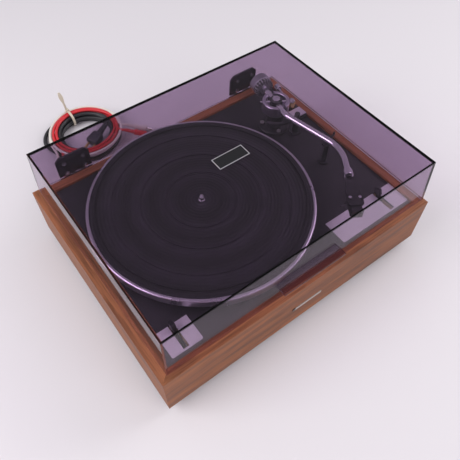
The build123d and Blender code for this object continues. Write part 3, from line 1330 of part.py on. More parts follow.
def bend_radii(route):
    """Each corner of a lead turns on the widest arc its shorter run allows."""
    corners = [Vector(*point) for point in route]
    radii = []
    for before, here, after in zip(corners, corners[1:], corners[2:]):
        turn = (here - before).get_angle(after - here)
        shorter = min((here - before).length, (after - here).length)
        radii.append(0.45 * shorter / tan(radians(turn) / 2))
    print("lead radii", [round(r, 1) for r in radii])
    return radii


def check_lead(piece, way, diameter):
    run = sum(edge.length for edge in way.edges())
    print("lead length", round(run, 1), "volume ratio", round(piece.part.volume / (pi * diameter**2 / 4 * run), 4))


MAINS_ROUTE = ((-140, RELIEF_END, 42), (-140, 226, 41), (-136, 258, 24), (-131, 284, 8), (-121, 302, 10))
WHITE_ROUTE = ((-163, PHONO_END, 42), (-163, 207, 41), (-160, 240, 29), (-149, 272, 18), (-134, 298, 16))
RED_ROUTE = ((-155, PHONO_END, 42), (-155, 206, 41), (-152, 238, 31), (-142, 266, 23), (-127, 290, 20))
with BuildPart() as mains_cord:
    with BuildLine() as mains_way:
        FilletPolyline(*MAINS_ROUTE, radius=bend_radii(MAINS_ROUTE))
    with BuildSketch(mains_way.wires()[0] ^ 0):
        Circle(MAINS_D / 2)
    sweep()
check_lead(mains_cord, mains_way, MAINS_D)
save(mains_cord, "mains_cord")

with BuildPart() as phono_cord_white:
    with BuildLine() as white_way:
        FilletPolyline(*WHITE_ROUTE, radius=bend_radii(WHITE_ROUTE))
    with BuildSketch(white_way.wires()[0] ^ 0):
        Circle(PHONO_D / 2)
    sweep()
check_lead(phono_cord_white, white_way, PHONO_D)
save(phono_cord_white, "phono_cord_white")

with BuildPart() as phono_cord_red:
    with BuildLine() as red_way:
        FilletPolyline(*RED_ROUTE, radius=bend_radii(RED_ROUTE))
    with BuildSketch(red_way.wires()[0] ^ 0):
        Circle(PHONO_D / 2)
    sweep()
check_lead(phono_cord_red, red_way, PHONO_D)
save(phono_cord_red, "phono_cord_red")

# The rest of all three leads lies coiled and tied behind the plinth
with BuildPart() as cord_coil:
    with Locations((COIL_MID[0], COIL_MID[1], BUNDLE_R)):
        Torus(COIL_R, BUNDLE_R)
save(cord_coil, "cord_coil")

# A twist of cable tie round the bundle, its tail standing up and back
TIE_ANGLE = 96.0
TIE_IN = 14.5
TIE_OUT = 16.4
tie_way = Vector(cos(radians(TIE_ANGLE)), sin(radians(TIE_ANGLE)), 0)
tie_spot = (COIL_MID[0] + COIL_R * tie_way.X, COIL_MID[1] + COIL_R * tie_way.Y, BUNDLE_R)
TIE_PLANE = Plane(origin=tie_spot, x_dir=tie_way, z_dir=(tie_way.Y, -tie_way.X, 0))
with BuildPart() as cable_tie:
    with BuildSketch(TIE_PLANE.offset(-2.0)):
        Rectangle(2 * TIE_OUT, 2 * BUNDLE_R - 0.2)
        Circle(TIE_IN, mode=Mode.SUBTRACT)
    extrude(amount=4.0)
    with BuildSketch(TIE_PLANE.offset(-2.0)):
        with Locations(Location((4.0, BUNDLE_R + 8.0), -15.0)):
            Rectangle(1.6, 18.0)
    extrude(amount=4.0)
save(cable_tie, "cable_tie")

# Moulded mains plug leaning from the bundle down into the middle of the coil
PLUG_WAY = 205.0
PLUG_DROP = 13.0
PLUG_AT = (-46.5, 309.2, 16.7)
plug_flat = cos(radians(PLUG_DROP))
PLUG_PLANE = Plane(
    origin=PLUG_AT,
    x_dir=(-sin(radians(PLUG_WAY)), cos(radians(PLUG_WAY)), 0),
    z_dir=(cos(radians(PLUG_WAY)) * plug_flat, sin(radians(PLUG_WAY)) * plug_flat, -sin(radians(PLUG_DROP))),
)
with BuildPart() as mains_plug:
    with BuildSketch(PLUG_PLANE.offset(-14.0)):
        Circle(3.8)
    with BuildSketch(PLUG_PLANE.offset(12.0)):
        Circle(6.0)
    loft()
    with BuildSketch(PLUG_PLANE.offset(12.0)):
        RectangleRounded(22.0, 16.0, 4.0)
    extrude(amount=24.0)
    with BuildSketch(PLUG_PLANE.offset(36.0)):
        with Locations((-6.5, 0), (6.5, 0)):
            Circle(2.2)
    extrude(amount=16.0)
save(mains_plug, "mains_plug")

# The plugs of the two screened leads, side by side, leaning from the bundle down to the floor
PHONO_PLUG_OUT = COIL_R + 32.9
PHONO_PLUG_WAY = -30.0
PHONO_PLUG_DROP = 21.0
PHONO_PLUG_GAP = 14.0
phono_way = Vector(cos(radians(PHONO_PLUG_WAY)), sin(radians(PHONO_PLUG_WAY)), 0)
phono_across = Vector(-phono_way.Y, phono_way.X, 0)
phono_aim = phono_way * cos(radians(PHONO_PLUG_DROP)) - Vector(0, 0, sin(radians(PHONO_PLUG_DROP)))
with BuildPart() as phono_plugs:
    for k in range(2):
        plug_from = phono_way * PHONO_PLUG_OUT + phono_across * (PHONO_PLUG_GAP * (k - 0.5))
        plug_from = plug_from + Vector(COIL_MID[0], COIL_MID[1], 15.3)
        plug_plane = Plane(origin=plug_from, x_dir=phono_across, z_dir=phono_aim)
        with BuildSketch(plug_plane.offset(-26.0)):
            Circle(2.6)
        with BuildSketch(plug_plane):
            Circle(3.4)
        loft()
        with BuildSketch(plug_plane):
            Circle(5.0)
        extrude(amount=22.0)
        with BuildSketch(plug_plane.offset(22.0)):
            Circle(4.1)
        extrude(amount=8.0)
        with BuildSketch(plug_plane.offset(30.0)):
            Circle(1.6)
        extrude(amount=6.0)
save(phono_plugs, "phono_plugs")
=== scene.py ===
import bpy
import math
from mathutils import Matrix, Vector


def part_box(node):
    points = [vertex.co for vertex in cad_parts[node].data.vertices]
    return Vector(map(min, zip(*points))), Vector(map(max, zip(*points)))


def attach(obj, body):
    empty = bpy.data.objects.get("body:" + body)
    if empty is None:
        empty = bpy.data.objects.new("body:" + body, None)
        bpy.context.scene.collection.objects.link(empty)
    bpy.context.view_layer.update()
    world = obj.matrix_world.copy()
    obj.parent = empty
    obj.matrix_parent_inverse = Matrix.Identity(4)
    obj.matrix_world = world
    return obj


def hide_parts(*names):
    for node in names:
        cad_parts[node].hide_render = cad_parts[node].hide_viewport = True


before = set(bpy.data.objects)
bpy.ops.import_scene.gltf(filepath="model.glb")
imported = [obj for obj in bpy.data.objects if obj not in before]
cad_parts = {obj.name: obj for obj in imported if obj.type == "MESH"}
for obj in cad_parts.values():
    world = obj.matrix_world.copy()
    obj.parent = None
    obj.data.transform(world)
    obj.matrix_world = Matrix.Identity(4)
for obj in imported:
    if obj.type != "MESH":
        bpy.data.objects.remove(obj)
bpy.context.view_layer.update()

# ---------------------------------------------------------------- view, floor and light
# The player stands on a pale studio table and is seen from its front left corner, high above it.
# The floor is one plain sheet, and three large soft lamps light it.
scene = bpy.context.scene
CAMERA_SPOT = (-0.27050, -0.36435, 0.64333)
CAMERA_RIGHT = (0.80189, -0.59744, 0.00657)
CAMERA_UP = (0.48235, 0.65383, 0.58296)
CAMERA_BACK = (-0.35258, -0.46430, 0.81247)


def placed(spot, across, up, out):
    """A place at a spot, with its X, Y and Z axes along three ways."""
    return Matrix.Translation(spot) @ Matrix((across, up, out)).transposed().to_4x4()


camera_data = bpy.data.cameras.new("camera")
camera_data.lens = 40.02
camera_data.sensor_width = 36.0
camera_data.clip_start = 0.01
camera = bpy.data.objects.new("camera", camera_data)
scene.collection.objects.link(camera)
camera.matrix_world = placed(CAMERA_SPOT, CAMERA_RIGHT, CAMERA_UP, CAMERA_BACK)
scene.camera = camera

world = bpy.data.worlds.new("studio")
scene.world = world
world.use_nodes = True
sky = world.node_tree.nodes["Background"]
sky.inputs["Color"].default_value = (0.92, 0.90, 0.94, 1)
sky.inputs["Strength"].default_value = 0.55
scene.view_settings.view_transform = "Standard"

LAMP_AIM = Vector((0, 0, 0.05))
LAMP_TONE = (1.0, 0.975, 0.99)


def soft_lamp(name, spot, size, power):
    data = bpy.data.lights.new(name, "AREA")
    data.shape = "SQUARE"
    data.size = size
    data.energy = power
    data.color = LAMP_TONE
    lamp = bpy.data.objects.new(name, data)
    scene.collection.objects.link(lamp)
    lamp.location = spot
    lamp.rotation_euler = (LAMP_AIM - Vector(spot)).to_track_quat("-Z", "Y").to_euler()


soft_lamp("lamp_left", (-1.5, 0.35, 1.4), 1.2, 23.5)
soft_lamp("lamp_front", (0.2, -1.7, 1.5), 1.4, 12.0)
soft_lamp("lamp_right", (1.7, -0.35, 1.3), 1.1, 14.0)


def deselect():
    """Nothing is selected, so the next operator works on its own piece only."""
    bpy.ops.object.select_all(action="DESELECT")
    bpy.context.view_layer.objects.active = None


def new_material(name):
    material = bpy.data.materials.new(name)
    material.use_nodes = True
    tree = material.node_tree
    return material, tree, tree.nodes["Principled BSDF"]


deselect()
bpy.ops.mesh.primitive_plane_add(size=5.0, location=(0, 0, 0))
floor = bpy.context.object
floor.name = "studio_floor"
bpy.ops.object.transform_apply(location=True, rotation=True, scale=True)
floor_paper, tree, surface = new_material("floor_paper")
surface.inputs["Base Color"].default_value = (0.735, 0.71, 0.74, 1)
surface.inputs["Roughness"].default_value = 0.55
floor.data.materials.append(floor_paper)


# ---------------------------------------------------------------- shared finish
# Every made surface has slight unevenness: a fine mottle in colour, and in gloss
# where hands and cloths have been. Each finish places this with its own strengths.
def add(tree, kind, **values):
    """A node, with its sockets and settings given by name."""
    node = tree.nodes.new(kind)
    for key, value in values.items():
        if key in node.inputs:
            node.inputs[key].default_value = value
        else:
            setattr(node, key, value)
    return node


def maths(tree, operation, second=None):
    """A sum on numbers, with its second number set where that is fixed."""
    node = add(tree, "ShaderNodeMath", operation=operation)
    if second is not None:
        node.inputs[1].default_value = second
    return node


surface_life = bpy.data.node_groups.new("surface_life", "ShaderNodeTree")
sockets = surface_life.interface
sockets.new_socket("Colour", in_out="INPUT", socket_type="NodeSocketColor")
for name in ("Scale", "Colour Change", "Gloss", "Gloss Change", "Stretch X"):
    sockets.new_socket(name, in_out="INPUT", socket_type="NodeSocketFloat")
sockets.new_socket("Colour", in_out="OUTPUT", socket_type="NodeSocketColor")
for name in ("Roughness", "Height"):
    sockets.new_socket(name, in_out="OUTPUT", socket_type="NodeSocketFloat")
given = add(surface_life, "NodeGroupInput")
result = add(surface_life, "NodeGroupOutput")
coordinates = add(surface_life, "ShaderNodeTexCoord")
stretch = add(surface_life, "ShaderNodeCombineXYZ", Y=1.0, Z=1.0)
spread = add(surface_life, "ShaderNodeVectorMath", operation="MULTIPLY")
fine = add(surface_life, "ShaderNodeTexNoise", Detail=6.0, Roughness=0.6)
broad = add(surface_life, "ShaderNodeTexNoise", Detail=3.0)
slow = maths(surface_life, "MULTIPLY", 0.12)
tone = maths(surface_life, "ADD")
centred = maths(surface_life, "SUBTRACT", 1.0)
scaled = maths(surface_life, "MULTIPLY")
shade = maths(surface_life, "ADD", 1.0)
tint = add(surface_life, "ShaderNodeVectorMath", operation="SCALE")
gloss_middle = maths(surface_life, "SUBTRACT", 0.5)
gloss_scaled = maths(surface_life, "MULTIPLY")
gloss_sum = add(surface_life, "ShaderNodeMath", operation="ADD", use_clamp=True)
link = surface_life.links.new
link(given.outputs["Stretch X"], stretch.inputs["X"])
link(coordinates.outputs["Object"], spread.inputs[0])
link(stretch.outputs[0], spread.inputs[1])
link(spread.outputs[0], fine.inputs["Vector"])
link(spread.outputs[0], broad.inputs["Vector"])
link(given.outputs["Scale"], fine.inputs["Scale"])
link(given.outputs["Scale"], slow.inputs[0])
link(slow.outputs[0], broad.inputs["Scale"])
link(fine.outputs["Fac"], tone.inputs[0])
link(broad.outputs["Fac"], tone.inputs[1])
link(tone.outputs[0], centred.inputs[0])
link(centred.outputs[0], scaled.inputs[0])
link(given.outputs["Colour Change"], scaled.inputs[1])
link(scaled.outputs[0], shade.inputs[0])
link(given.outputs["Colour"], tint.inputs[0])
link(shade.outputs[0], tint.inputs["Scale"])
link(tint.outputs[0], result.inputs["Colour"])
link(broad.outputs["Fac"], gloss_middle.inputs[0])
link(gloss_middle.outputs[0], gloss_scaled.inputs[0])
link(given.outputs["Gloss Change"], gloss_scaled.inputs[1])
link(gloss_scaled.outputs[0], gloss_sum.inputs[0])
link(given.outputs["Gloss"], gloss_sum.inputs[1])
link(gloss_sum.outputs[0], result.inputs["Roughness"])
link(fine.outputs["Fac"], result.inputs["Height"])
GLOSS_CHANGE = 0.15
RELIEF_DEPTH = 0.0004


def finish(name, colour, gloss, scale, metallic=0.0, change=0.12, bump=0.0, stretch_x=1.0):
    """One colour with the shared unevenness, and a fine relief where bump is given."""
    material, tree, surface = new_material(name)
    life = add(tree, "ShaderNodeGroup", node_tree=surface_life)
    life.inputs["Colour"].default_value = (*colour, 1)
    life.inputs["Scale"].default_value = scale
    life.inputs["Colour Change"].default_value = change
    life.inputs["Gloss"].default_value = gloss
    life.inputs["Gloss Change"].default_value = GLOSS_CHANGE
    life.inputs["Stretch X"].default_value = stretch_x
    tree.links.new(life.outputs["Colour"], surface.inputs["Base Color"])
    tree.links.new(life.outputs["Roughness"], surface.inputs["Roughness"])
    surface.inputs["Metallic"].default_value = metallic
    if bump > 0:
        relief = add(tree, "ShaderNodeBump", Strength=bump, Distance=RELIEF_DEPTH)
        tree.links.new(life.outputs["Height"], relief.inputs["Height"])
        tree.links.new(relief.outputs["Normal"], surface.inputs["Normal"])
    return material


def dress(material, *nodes):
    """A finish put on CAD pieces, given by name."""
    for node in nodes:
        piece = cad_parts[node]
        piece.data.materials.clear()
        piece.data.materials.append(material)


# ---------------------------------------------------------------- wooden plinth
# Four chipboard boards with walnut veneer, glued at the corners over inside blocks, on four
# rubber feet. The grain runs along each board, streaked dark and light with short open pores.
WALNUT_DARK = (0.135, 0.046, 0.020)
WALNUT_LIGHT = (0.385, 0.145, 0.062)
WALNUT_MIDDLE = [0.45 * dark + 0.55 * light for dark, light in zip(WALNUT_DARK, WALNUT_LIGHT)]
WALNUT_GLOSS = 0.52
WALNUT_WEAR = 0.08


def remap(tree, from_low, from_high, to_low, to_high):
    """A number moved from one span to another."""
    limits = {"From Min": from_low, "From Max": from_high, "To Min": to_low, "To Max": to_high}
    return add(tree, "ShaderNodeMapRange", **limits)


def grain_space(tree, along_grain, along, across):
    """Object coordinates, scaled less along the grain than across it."""
    place = add(tree, "ShaderNodeTexCoord")
    space = add(tree, "ShaderNodeMapping")
    space.inputs["Scale"].default_value = [along if k == along_grain else across for k in range(3)]
    tree.links.new(place.outputs["Object"], space.inputs["Vector"])
    return space


def walnut(name, along_grain):
    """Walnut veneer, with its grain along the X axis (0) or the Y axis (1)."""
    material, tree, surface = new_material(name)
    surface.inputs["Specular IOR Level"].default_value = 0.3
    streaks = grain_space(tree, along_grain, 1.6, 26.0)
    figure = add(tree, "ShaderNodeTexNoise", Scale=3.2, Detail=8.0, Roughness=0.62, Distortion=0.5)
    pores = grain_space(tree, along_grain, 14.0, 420.0)
    pore = add(tree, "ShaderNodeTexNoise", Scale=2.0, Detail=3.0)
    ramp = add(tree, "ShaderNodeValToRGB")
    ramp.color_ramp.elements[0].position = 0.32
    ramp.color_ramp.elements[0].color = (*WALNUT_DARK, 1)
    ramp.color_ramp.elements[1].position = 0.70
    ramp.color_ramp.elements[1].color = (*WALNUT_LIGHT, 1)
    ramp.color_ramp.elements.new(0.5).color = (*WALNUT_MIDDLE, 1)
    speck = remap(tree, 0.36, 0.52, 0.62, 1.0)
    shaded = add(tree, "ShaderNodeVectorMath", operation="SCALE")
    relief = add(tree, "ShaderNodeBump", Strength=0.18, Distance=0.0003)
    worn = remap(tree, 0.3, 0.7, WALNUT_GLOSS - WALNUT_WEAR, WALNUT_GLOSS + WALNUT_WEAR)
    link = tree.links.new
    link(streaks.outputs[0], figure.inputs["Vector"])
    link(pores.outputs[0], pore.inputs["Vector"])
    link(figure.outputs["Fac"], ramp.inputs["Fac"])
    link(pore.outputs["Fac"], speck.inputs["Value"])
    link(ramp.outputs["Color"], shaded.inputs[0])
    link(speck.outputs[0], shaded.inputs["Scale"])
    link(shaded.outputs[0], surface.inputs["Base Color"])
    link(figure.outputs["Fac"], worn.inputs["Value"])
    link(worn.outputs[0], surface.inputs["Roughness"])
    link(pore.outputs["Fac"], relief.inputs["Height"])
    link(relief.outputs["Normal"], surface.inputs["Normal"])
    return material


chipboard = finish("chipboard", (0.42, 0.30, 0.18), 0.8, scale=420, change=0.7, bump=0.4)
foot_rubber = finish("foot_rubber", (0.02, 0.02, 0.02), 0.6, scale=150, bump=0.3)
zinc = finish("zinc", (0.62, 0.62, 0.60), 0.38, metallic=1.0, scale=120, change=0.2)
dress(walnut("walnut_along_x", 0), "plinth_front_board", "plinth_rear_board")
dress(walnut("walnut_along_y", 1), "plinth_left_board", "plinth_right_board")
dress(chipboard, "plinth_blocks", "floor_board", "chassis_board")
dress(foot_rubber, "feet", "motor_grommets")
dress(zinc, "base_screws", "deck_screws")

# ---------------------------------------------------------------- deck, trim and levers
# A steel plate painted matte black covers the deck board, and two thin anodised aluminium
# plates are glued on its front corners round the slots of two dark levers. The levers rock
# on steel brackets below the board, and the power switch is fixed beside the left one.
deck_black = finish("deck_black", (0.016, 0.015, 0.018), 0.48, scale=500, change=0.3, bump=0.25)
trim_silver = finish("trim_silver", (0.56, 0.55, 0.57), 0.5, metallic=0.35, scale=300, stretch_x=0.02)
lever_black = finish("lever_black", (0.020, 0.019, 0.022), 0.3, scale=150, bump=0.05)
bracket_steel = finish("bracket_steel", (0.45, 0.45, 0.46), 0.42, metallic=1.0, scale=110, change=0.2)
switch_black = finish("switch_black", (0.02, 0.02, 0.022), 0.5, scale=150, bump=0.15)
dress(deck_black, "deck_plate")
dress(trim_silver, "trim_plates")
dress(lever_black, "speed_lever", "lift_lever")
dress(bracket_steel, "lever_brackets", "bearing_housing")
dress(switch_black, "power_switch")

# ---------------------------------------------------------------- platter and drive
# The platter is an aluminium casting with a turned rim, on a steel shaft. A rubber belt
# runs round its drum, and a motor with a stepped brass pulley turns it.
platter_metal = finish("platter_metal", (0.63, 0.61, 0.66), 0.30, metallic=1.0, scale=260, change=0.10)
shaft_steel = finish("shaft_steel", (0.70, 0.70, 0.72), 0.18, metallic=1.0, scale=140)
belt_rubber = finish("belt_rubber", (0.015, 0.015, 0.015), 0.65, scale=200, bump=0.1)
pulley_brass = finish("pulley_brass", (0.80, 0.60, 0.30), 0.25, metallic=1.0, scale=160)
motor_can = finish("motor_can", (0.50, 0.50, 0.49), 0.40, metallic=1.0, scale=70, change=0.2)
fork_plastic = finish("fork_plastic", (0.5, 0.5, 0.48), 0.5, scale=120, bump=0.1)
dress(platter_metal, "platter")
dress(shaft_steel, "spindle_shaft")
dress(belt_rubber, "drive_belt")
dress(pulley_brass, "motor_pulley")
dress(motor_can, "motor")
dress(fork_plastic, "belt_fork")

# ---------------------------------------------------------------- rubber mat
# A black moulded rubber mat lies loose on the platter. It has fine rings round the spindle,
# and dust has greyed it in patches; broad rings of painted sheen lighten that grey in bands.
MAT_MIDDLE = (-0.0423, -0.0012, 0)
RING_PITCH = 0.0046
BAND_PITCH = 0.037


def measured_from(tree, middle, turn=0.0):
    """Object coordinates measured from a middle and turned about Z, as X, Y and Z."""
    place = add(tree, "ShaderNodeTexCoord")
    centre = add(tree, "ShaderNodeMapping", vector_type="TEXTURE")
    centre.inputs["Location"].default_value = middle
    centre.inputs["Rotation"].default_value = (0, 0, turn)
    split = add(tree, "ShaderNodeSeparateXYZ")
    tree.links.new(place.outputs["Object"], centre.inputs["Vector"])
    tree.links.new(centre.outputs[0], split.inputs[0])
    return split


def two_colours(tree, first, second):
    """A blend of two colours, which gives the second where its factor is one."""
    blend = add(tree, "ShaderNodeMix", data_type="RGBA")
    blend.inputs[6].default_value = (*first, 1)
    blend.inputs[7].default_value = (*second, 1)
    return blend


mat_rubber, tree, surface = new_material("mat_rubber")
surface.inputs["Roughness"].default_value = 0.5
split = measured_from(tree, MAT_MIDDLE)
flat = add(tree, "ShaderNodeCombineXYZ")
away = add(tree, "ShaderNodeVectorMath", operation="LENGTH")
rings = maths(tree, "MULTIPLY", 2 * math.pi / RING_PITCH)
ripple = maths(tree, "SINE")
relief = add(tree, "ShaderNodeBump", Strength=0.25, Distance=0.0004)
place = add(tree, "ShaderNodeTexCoord")
dust = add(tree, "ShaderNodeTexNoise", Scale=42.0, Detail=8.0, Roughness=0.7)
grey = remap(tree, 0.2, 0.6, 0.0, 1.0)
# Broad rings round the spindle are painted sheen: they scale how far the dust grey lightens the black
# rubber.
bands = maths(tree, "MULTIPLY", 2 * math.pi / BAND_PITCH)
banded = maths(tree, "SINE")
sheen_band_share = maths(tree, "MULTIPLY_ADD", 0.32)
sheen_band_share.inputs[2].default_value = 0.42
dust_and_sheen = maths(tree, "MULTIPLY")
blend = two_colours(tree, (0.004, 0.004, 0.005), (0.024, 0.023, 0.030))
link = tree.links.new
link(split.outputs["X"], flat.inputs["X"])
link(split.outputs["Y"], flat.inputs["Y"])
link(flat.outputs[0], away.inputs[0])
link(away.outputs["Value"], rings.inputs[0])
link(rings.outputs[0], ripple.inputs[0])
link(ripple.outputs[0], relief.inputs["Height"])
link(relief.outputs["Normal"], surface.inputs["Normal"])
link(place.outputs["Object"], dust.inputs["Vector"])
link(dust.outputs["Fac"], grey.inputs["Value"])
link(away.outputs["Value"], bands.inputs[0])
link(bands.outputs[0], banded.inputs[0])
link(banded.outputs[0], sheen_band_share.inputs[0])
link(grey.outputs[0], dust_and_sheen.inputs[0])
link(sheen_band_share.outputs[0], dust_and_sheen.inputs[1])
link(dust_and_sheen.outputs[0], blend.inputs[0])
link(blend.outputs[2], surface.inputs["Base Color"])
dress(mat_rubber, "platter_mat")

# ---------------------------------------------------------------- pick-up arm
# A bent chromed tube carries a screwed black headshell, and turns in a silver ring on
# pivot pins. Its base, rest and lift stand on the deck, the weights hang behind.
arm_chrome = finish("arm_chrome", (0.82, 0.81, 0.85), 0.13, metallic=1.0, scale=120, change=0.06)
ring_silver = finish("ring_silver", (0.56, 0.53, 0.60), 0.32, metallic=1.0, scale=200, change=0.10)
arm_black = finish("arm_black", (0.018, 0.017, 0.020), 0.38, scale=220, change=0.2, bump=0.1)
weight_grey = finish("weight_grey", (0.42, 0.42, 0.45), 0.34, metallic=1.0, scale=220, change=0.1)
label_lilac = finish("label_lilac", (0.62, 0.59, 0.65), 0.45, metallic=0.3, scale=200)
dress(arm_chrome, "arm_tube", "shell_collar", "pivot_pins", "hub_cap", "lateral_weight", "cartridge_screws")
dress(ring_silver, "arm_yoke")
dress(arm_black, "arm_base", "arm_hub", "arm_side_block", "arm_rest", "arm_rest_clip")
dress(arm_black, "lift_cylinder", "lift_platform", "headshell", "cartridge", "needle")
dress(weight_grey, "counterweight")
dress(label_lilac, "arm_label_plate")
dress(pulley_brass, "anti_skate_knob")

# ---------------------------------------------------------------- counterweight dial
# The dial is a black plastic ring that turns by itself on the front of the weight. Fine
# light marks are printed round its front face.
DIAL_MARKS = 20
DIAL_TURN = math.radians(-11)


def middle_of(node):
    low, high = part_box(node)
    return [(a + b) / 2 for a, b in zip(low, high)]


dial_black, tree, surface = new_material("dial_black")
surface.inputs["Roughness"].default_value = 0.4
split = measured_from(tree, middle_of("counterweight_dial"), DIAL_TURN)
angle = maths(tree, "ARCTAN2")
many = maths(tree, "MULTIPLY", DIAL_MARKS)
wave = maths(tree, "COSINE")
mark = maths(tree, "GREATER_THAN", 0.86)
blend = two_colours(tree, (0.016, 0.016, 0.018), (0.62, 0.62, 0.64))
link = tree.links.new
link(split.outputs["Z"], angle.inputs[0])
link(split.outputs["X"], angle.inputs[1])
link(angle.outputs[0], many.inputs[0])
link(many.outputs[0], wave.inputs[0])
link(wave.outputs[0], mark.inputs[0])
link(mark.outputs[0], blend.inputs[0])
link(blend.outputs[2], surface.inputs["Base Color"])
dress(dial_black, "counterweight_dial")

# ---------------------------------------------------------------- leads
# One thick black mains lead and two thinner screened leads, all rubbery plastic, leave
# the rear board and are wound together into a coil behind the plinth, held by one tie.
COIL_MID = Vector((-0.075, 0.312, 0.0))
COIL_R = 0.0508
COIL_HIGH = 15.0        # height of the bundle's middle; this and the next lengths are in millimetres
LOOSE_RIPPLE = 1.2      # how far each turn wanders in and out, away from the tie
LOOSE_SAG = 1.5
LOOP_DROP = 7.8         # how far the first mains turn sinks where it bulges out
LOOSE_FAN = 0.22        # how much wider the bundle is, opposite the tie
TIE_ANGLE = 96.0        # this and the next angles are in degrees
STEP = 20.0
PLACE_CHANGE = 50.0     # the stretch in which a strand moves to its next place
LOOP_AT = 52.0
LOOP_HALF = 60.0


def slot_place(slots, turn, local, windows):
    """The strand's place in the bundle, moving to its next place in a stretch of its own on each turn."""
    here = Vector(slots[turn])
    if turn < len(windows):
        share = min(1.0, max(0.0, (local - windows[turn]) / PLACE_CHANGE))
        share = share * share * (3 - 2 * share)
        here = here.lerp(Vector(slots[turn + 1]), share)
    return here


def coil_points(slots, windows, start, travel, bulge=0.0):
    """Points of a strand going clockwise round the coil, wide apart where nothing ties it."""
    points = []
    for k in range(int(travel // STEP) + 1):
        gone = k * STEP
        turn = int(gone // 360)
        local = gone - 360 * turn
        place = slot_place(slots, turn, local, windows)
        angle = math.radians(start - gone)
        loose = 0.5 - 0.5 * math.cos(angle - math.radians(TIE_ANGLE))
        out = place.x * (1 + LOOSE_FAN * loose) + LOOSE_RIPPLE * loose * math.sin(2 * angle + 1.3 * turn)
        high = COIL_HIGH + place.y - LOOSE_SAG * min(1.0, 3 * loose)
        if turn == 0 and bulge > 0 and abs(local - LOOP_AT) < LOOP_HALF:
            swell = 0.5 + 0.5 * math.cos(math.pi * (local - LOOP_AT) / LOOP_HALF)
            out += bulge * swell
            high -= LOOP_DROP * swell
        radius = COIL_R + out / 1000
        points.append(COIL_MID + Vector((radius * math.cos(angle), radius * math.sin(angle), high / 1000)))
    return points


def lead(name, points, diameter):
    curve = bpy.data.curves.new(name, "CURVE")
    curve.dimensions = "3D"
    curve.bevel_depth = diameter / 2
    curve.bevel_resolution = 3
    curve.resolution_u = 5
    curve.use_fill_caps = True
    spline = curve.splines.new("NURBS")
    spline.points.add(len(points) - 1)
    for spot, point in zip(spline.points, points):
        spot.co = (*point, 1)
    spline.order_u = 3
    spline.use_endpoint_u = True
    piece = bpy.data.objects.new(name, curve)
    scene.collection.objects.link(piece)
    return piece


def from_plinth(*points):
    """Route points given in millimetres from the plinth's middle, 6 mm in front of the origin."""
    return [Vector((x / 1000, (y - 6) / 1000, z / 1000)) for x, y, z in points]


def round_coil(radius, angle, high):
    angle = math.radians(angle)
    return COIL_MID + Vector((radius * math.cos(angle), radius * math.sin(angle), high))


MAINS_D = 0.0065
CURL_R = 0.020
CURL_START = 25.0
mains_slots = ((7.2, -3.4), (3.6, -9.8), (-3.6, -9.8), (-7.2, -3.4), (0.0, -3.4), (-4.4, 3.8))
mains_points = from_plinth((-140, 197, 42), (-140, 226, 41), (-136, 258, 24), (-131, 284, 8))
mains_points += coil_points(mains_slots, (246, 212, 178, 144, 110), 195.0, 1960.0, bulge=18.0)
curl_mid = round_coil(0.028, CURL_START, 0.0)
for bent, high in ((10.0, 0.0183), (40.0, 0.0183), (70.0, 0.0182), (90.0, 0.0180)):
    way = math.radians(CURL_START - bent)
    mains_points.append(curl_mid + Vector((CURL_R * math.cos(way), CURL_R * math.sin(way), high)))
mains_lead = lead("mains_lead", mains_points, MAINS_D)

PHONO_D = 0.0045
PHONO_BEND_R = 0.012
PHONO_END = 0.0695
PHONO_HALF_GAP = 0.007
PHONO_HEADING = math.radians(-30)
PHONO_OUT = Vector((math.cos(PHONO_HEADING), math.sin(PHONO_HEADING), 0))
PHONO_ACROSS = Vector((-PHONO_OUT.y, PHONO_OUT.x, 0))
white_slots = ((11.2, 0.8), (6.6, 2.8), (9.2, 7.4))
white_points = from_plinth((-163, 185, 42), (-163, 207, 41), (-160, 240, 29), (-149, 272, 18))
white_points += coil_points(white_slots, (190, 130), 195.0, 900.0)
red_slots = ((1.2, 3.1), (-1.2, 8.8), (3.9, 7.8))
red_points = from_plinth((-155, 185, 42), (-155, 206, 41), (-152, 238, 31), (-142, 266, 23))
red_points += from_plinth((-131, 288, 20.5))
red_points += coil_points(red_slots, (190, 130), 185.0, 900.0)


def beside_coil(out, across, high):
    """A place outside the coil, out towards the phono plugs and across between them."""
    return COIL_MID + PHONO_OUT * out + PHONO_ACROSS * across + Vector((0, 0, high))


def turn_out(end_out, end_across, high):
    """A strand's last bend, outwards from the coil to its plug."""
    bend = []
    for bent in (0, 30, 60, 90):
        out = end_out - PHONO_BEND_R * math.cos(math.radians(bent))
        across = end_across + PHONO_BEND_R - PHONO_BEND_R * math.sin(math.radians(bent))
        bend.append(beside_coil(out, across, high))
    return bend + [beside_coil(PHONO_END, end_across, high - 0.0003)]


white_lead = lead("white_lead", white_points + turn_out(0.067, PHONO_HALF_GAP, 0.0211), PHONO_D)
red_lead = lead("red_lead", red_points + turn_out(0.0655, -PHONO_HALF_GAP, 0.0212), PHONO_D)

lead_black = finish("lead_black", (0.022, 0.022, 0.026), 0.42, scale=160, bump=0.12)
lead_white = finish("lead_white", (0.72, 0.68, 0.62), 0.42, scale=160, bump=0.12)
lead_red = finish("lead_red", (0.62, 0.025, 0.035), 0.40, scale=160, bump=0.12)
for piece, material, slot_name in (
    (mains_lead, lead_black, "cord_black"),
    (white_lead, lead_white, "cord_white"),
    (red_lead, lead_red, "cord_red"),
):
    piece.data.materials.append(material)
    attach(piece, "plinth")
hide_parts("mains_cord", "cord_coil")
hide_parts("phono_cord_white", "cord_coil")
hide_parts("phono_cord_red", "cord_coil")


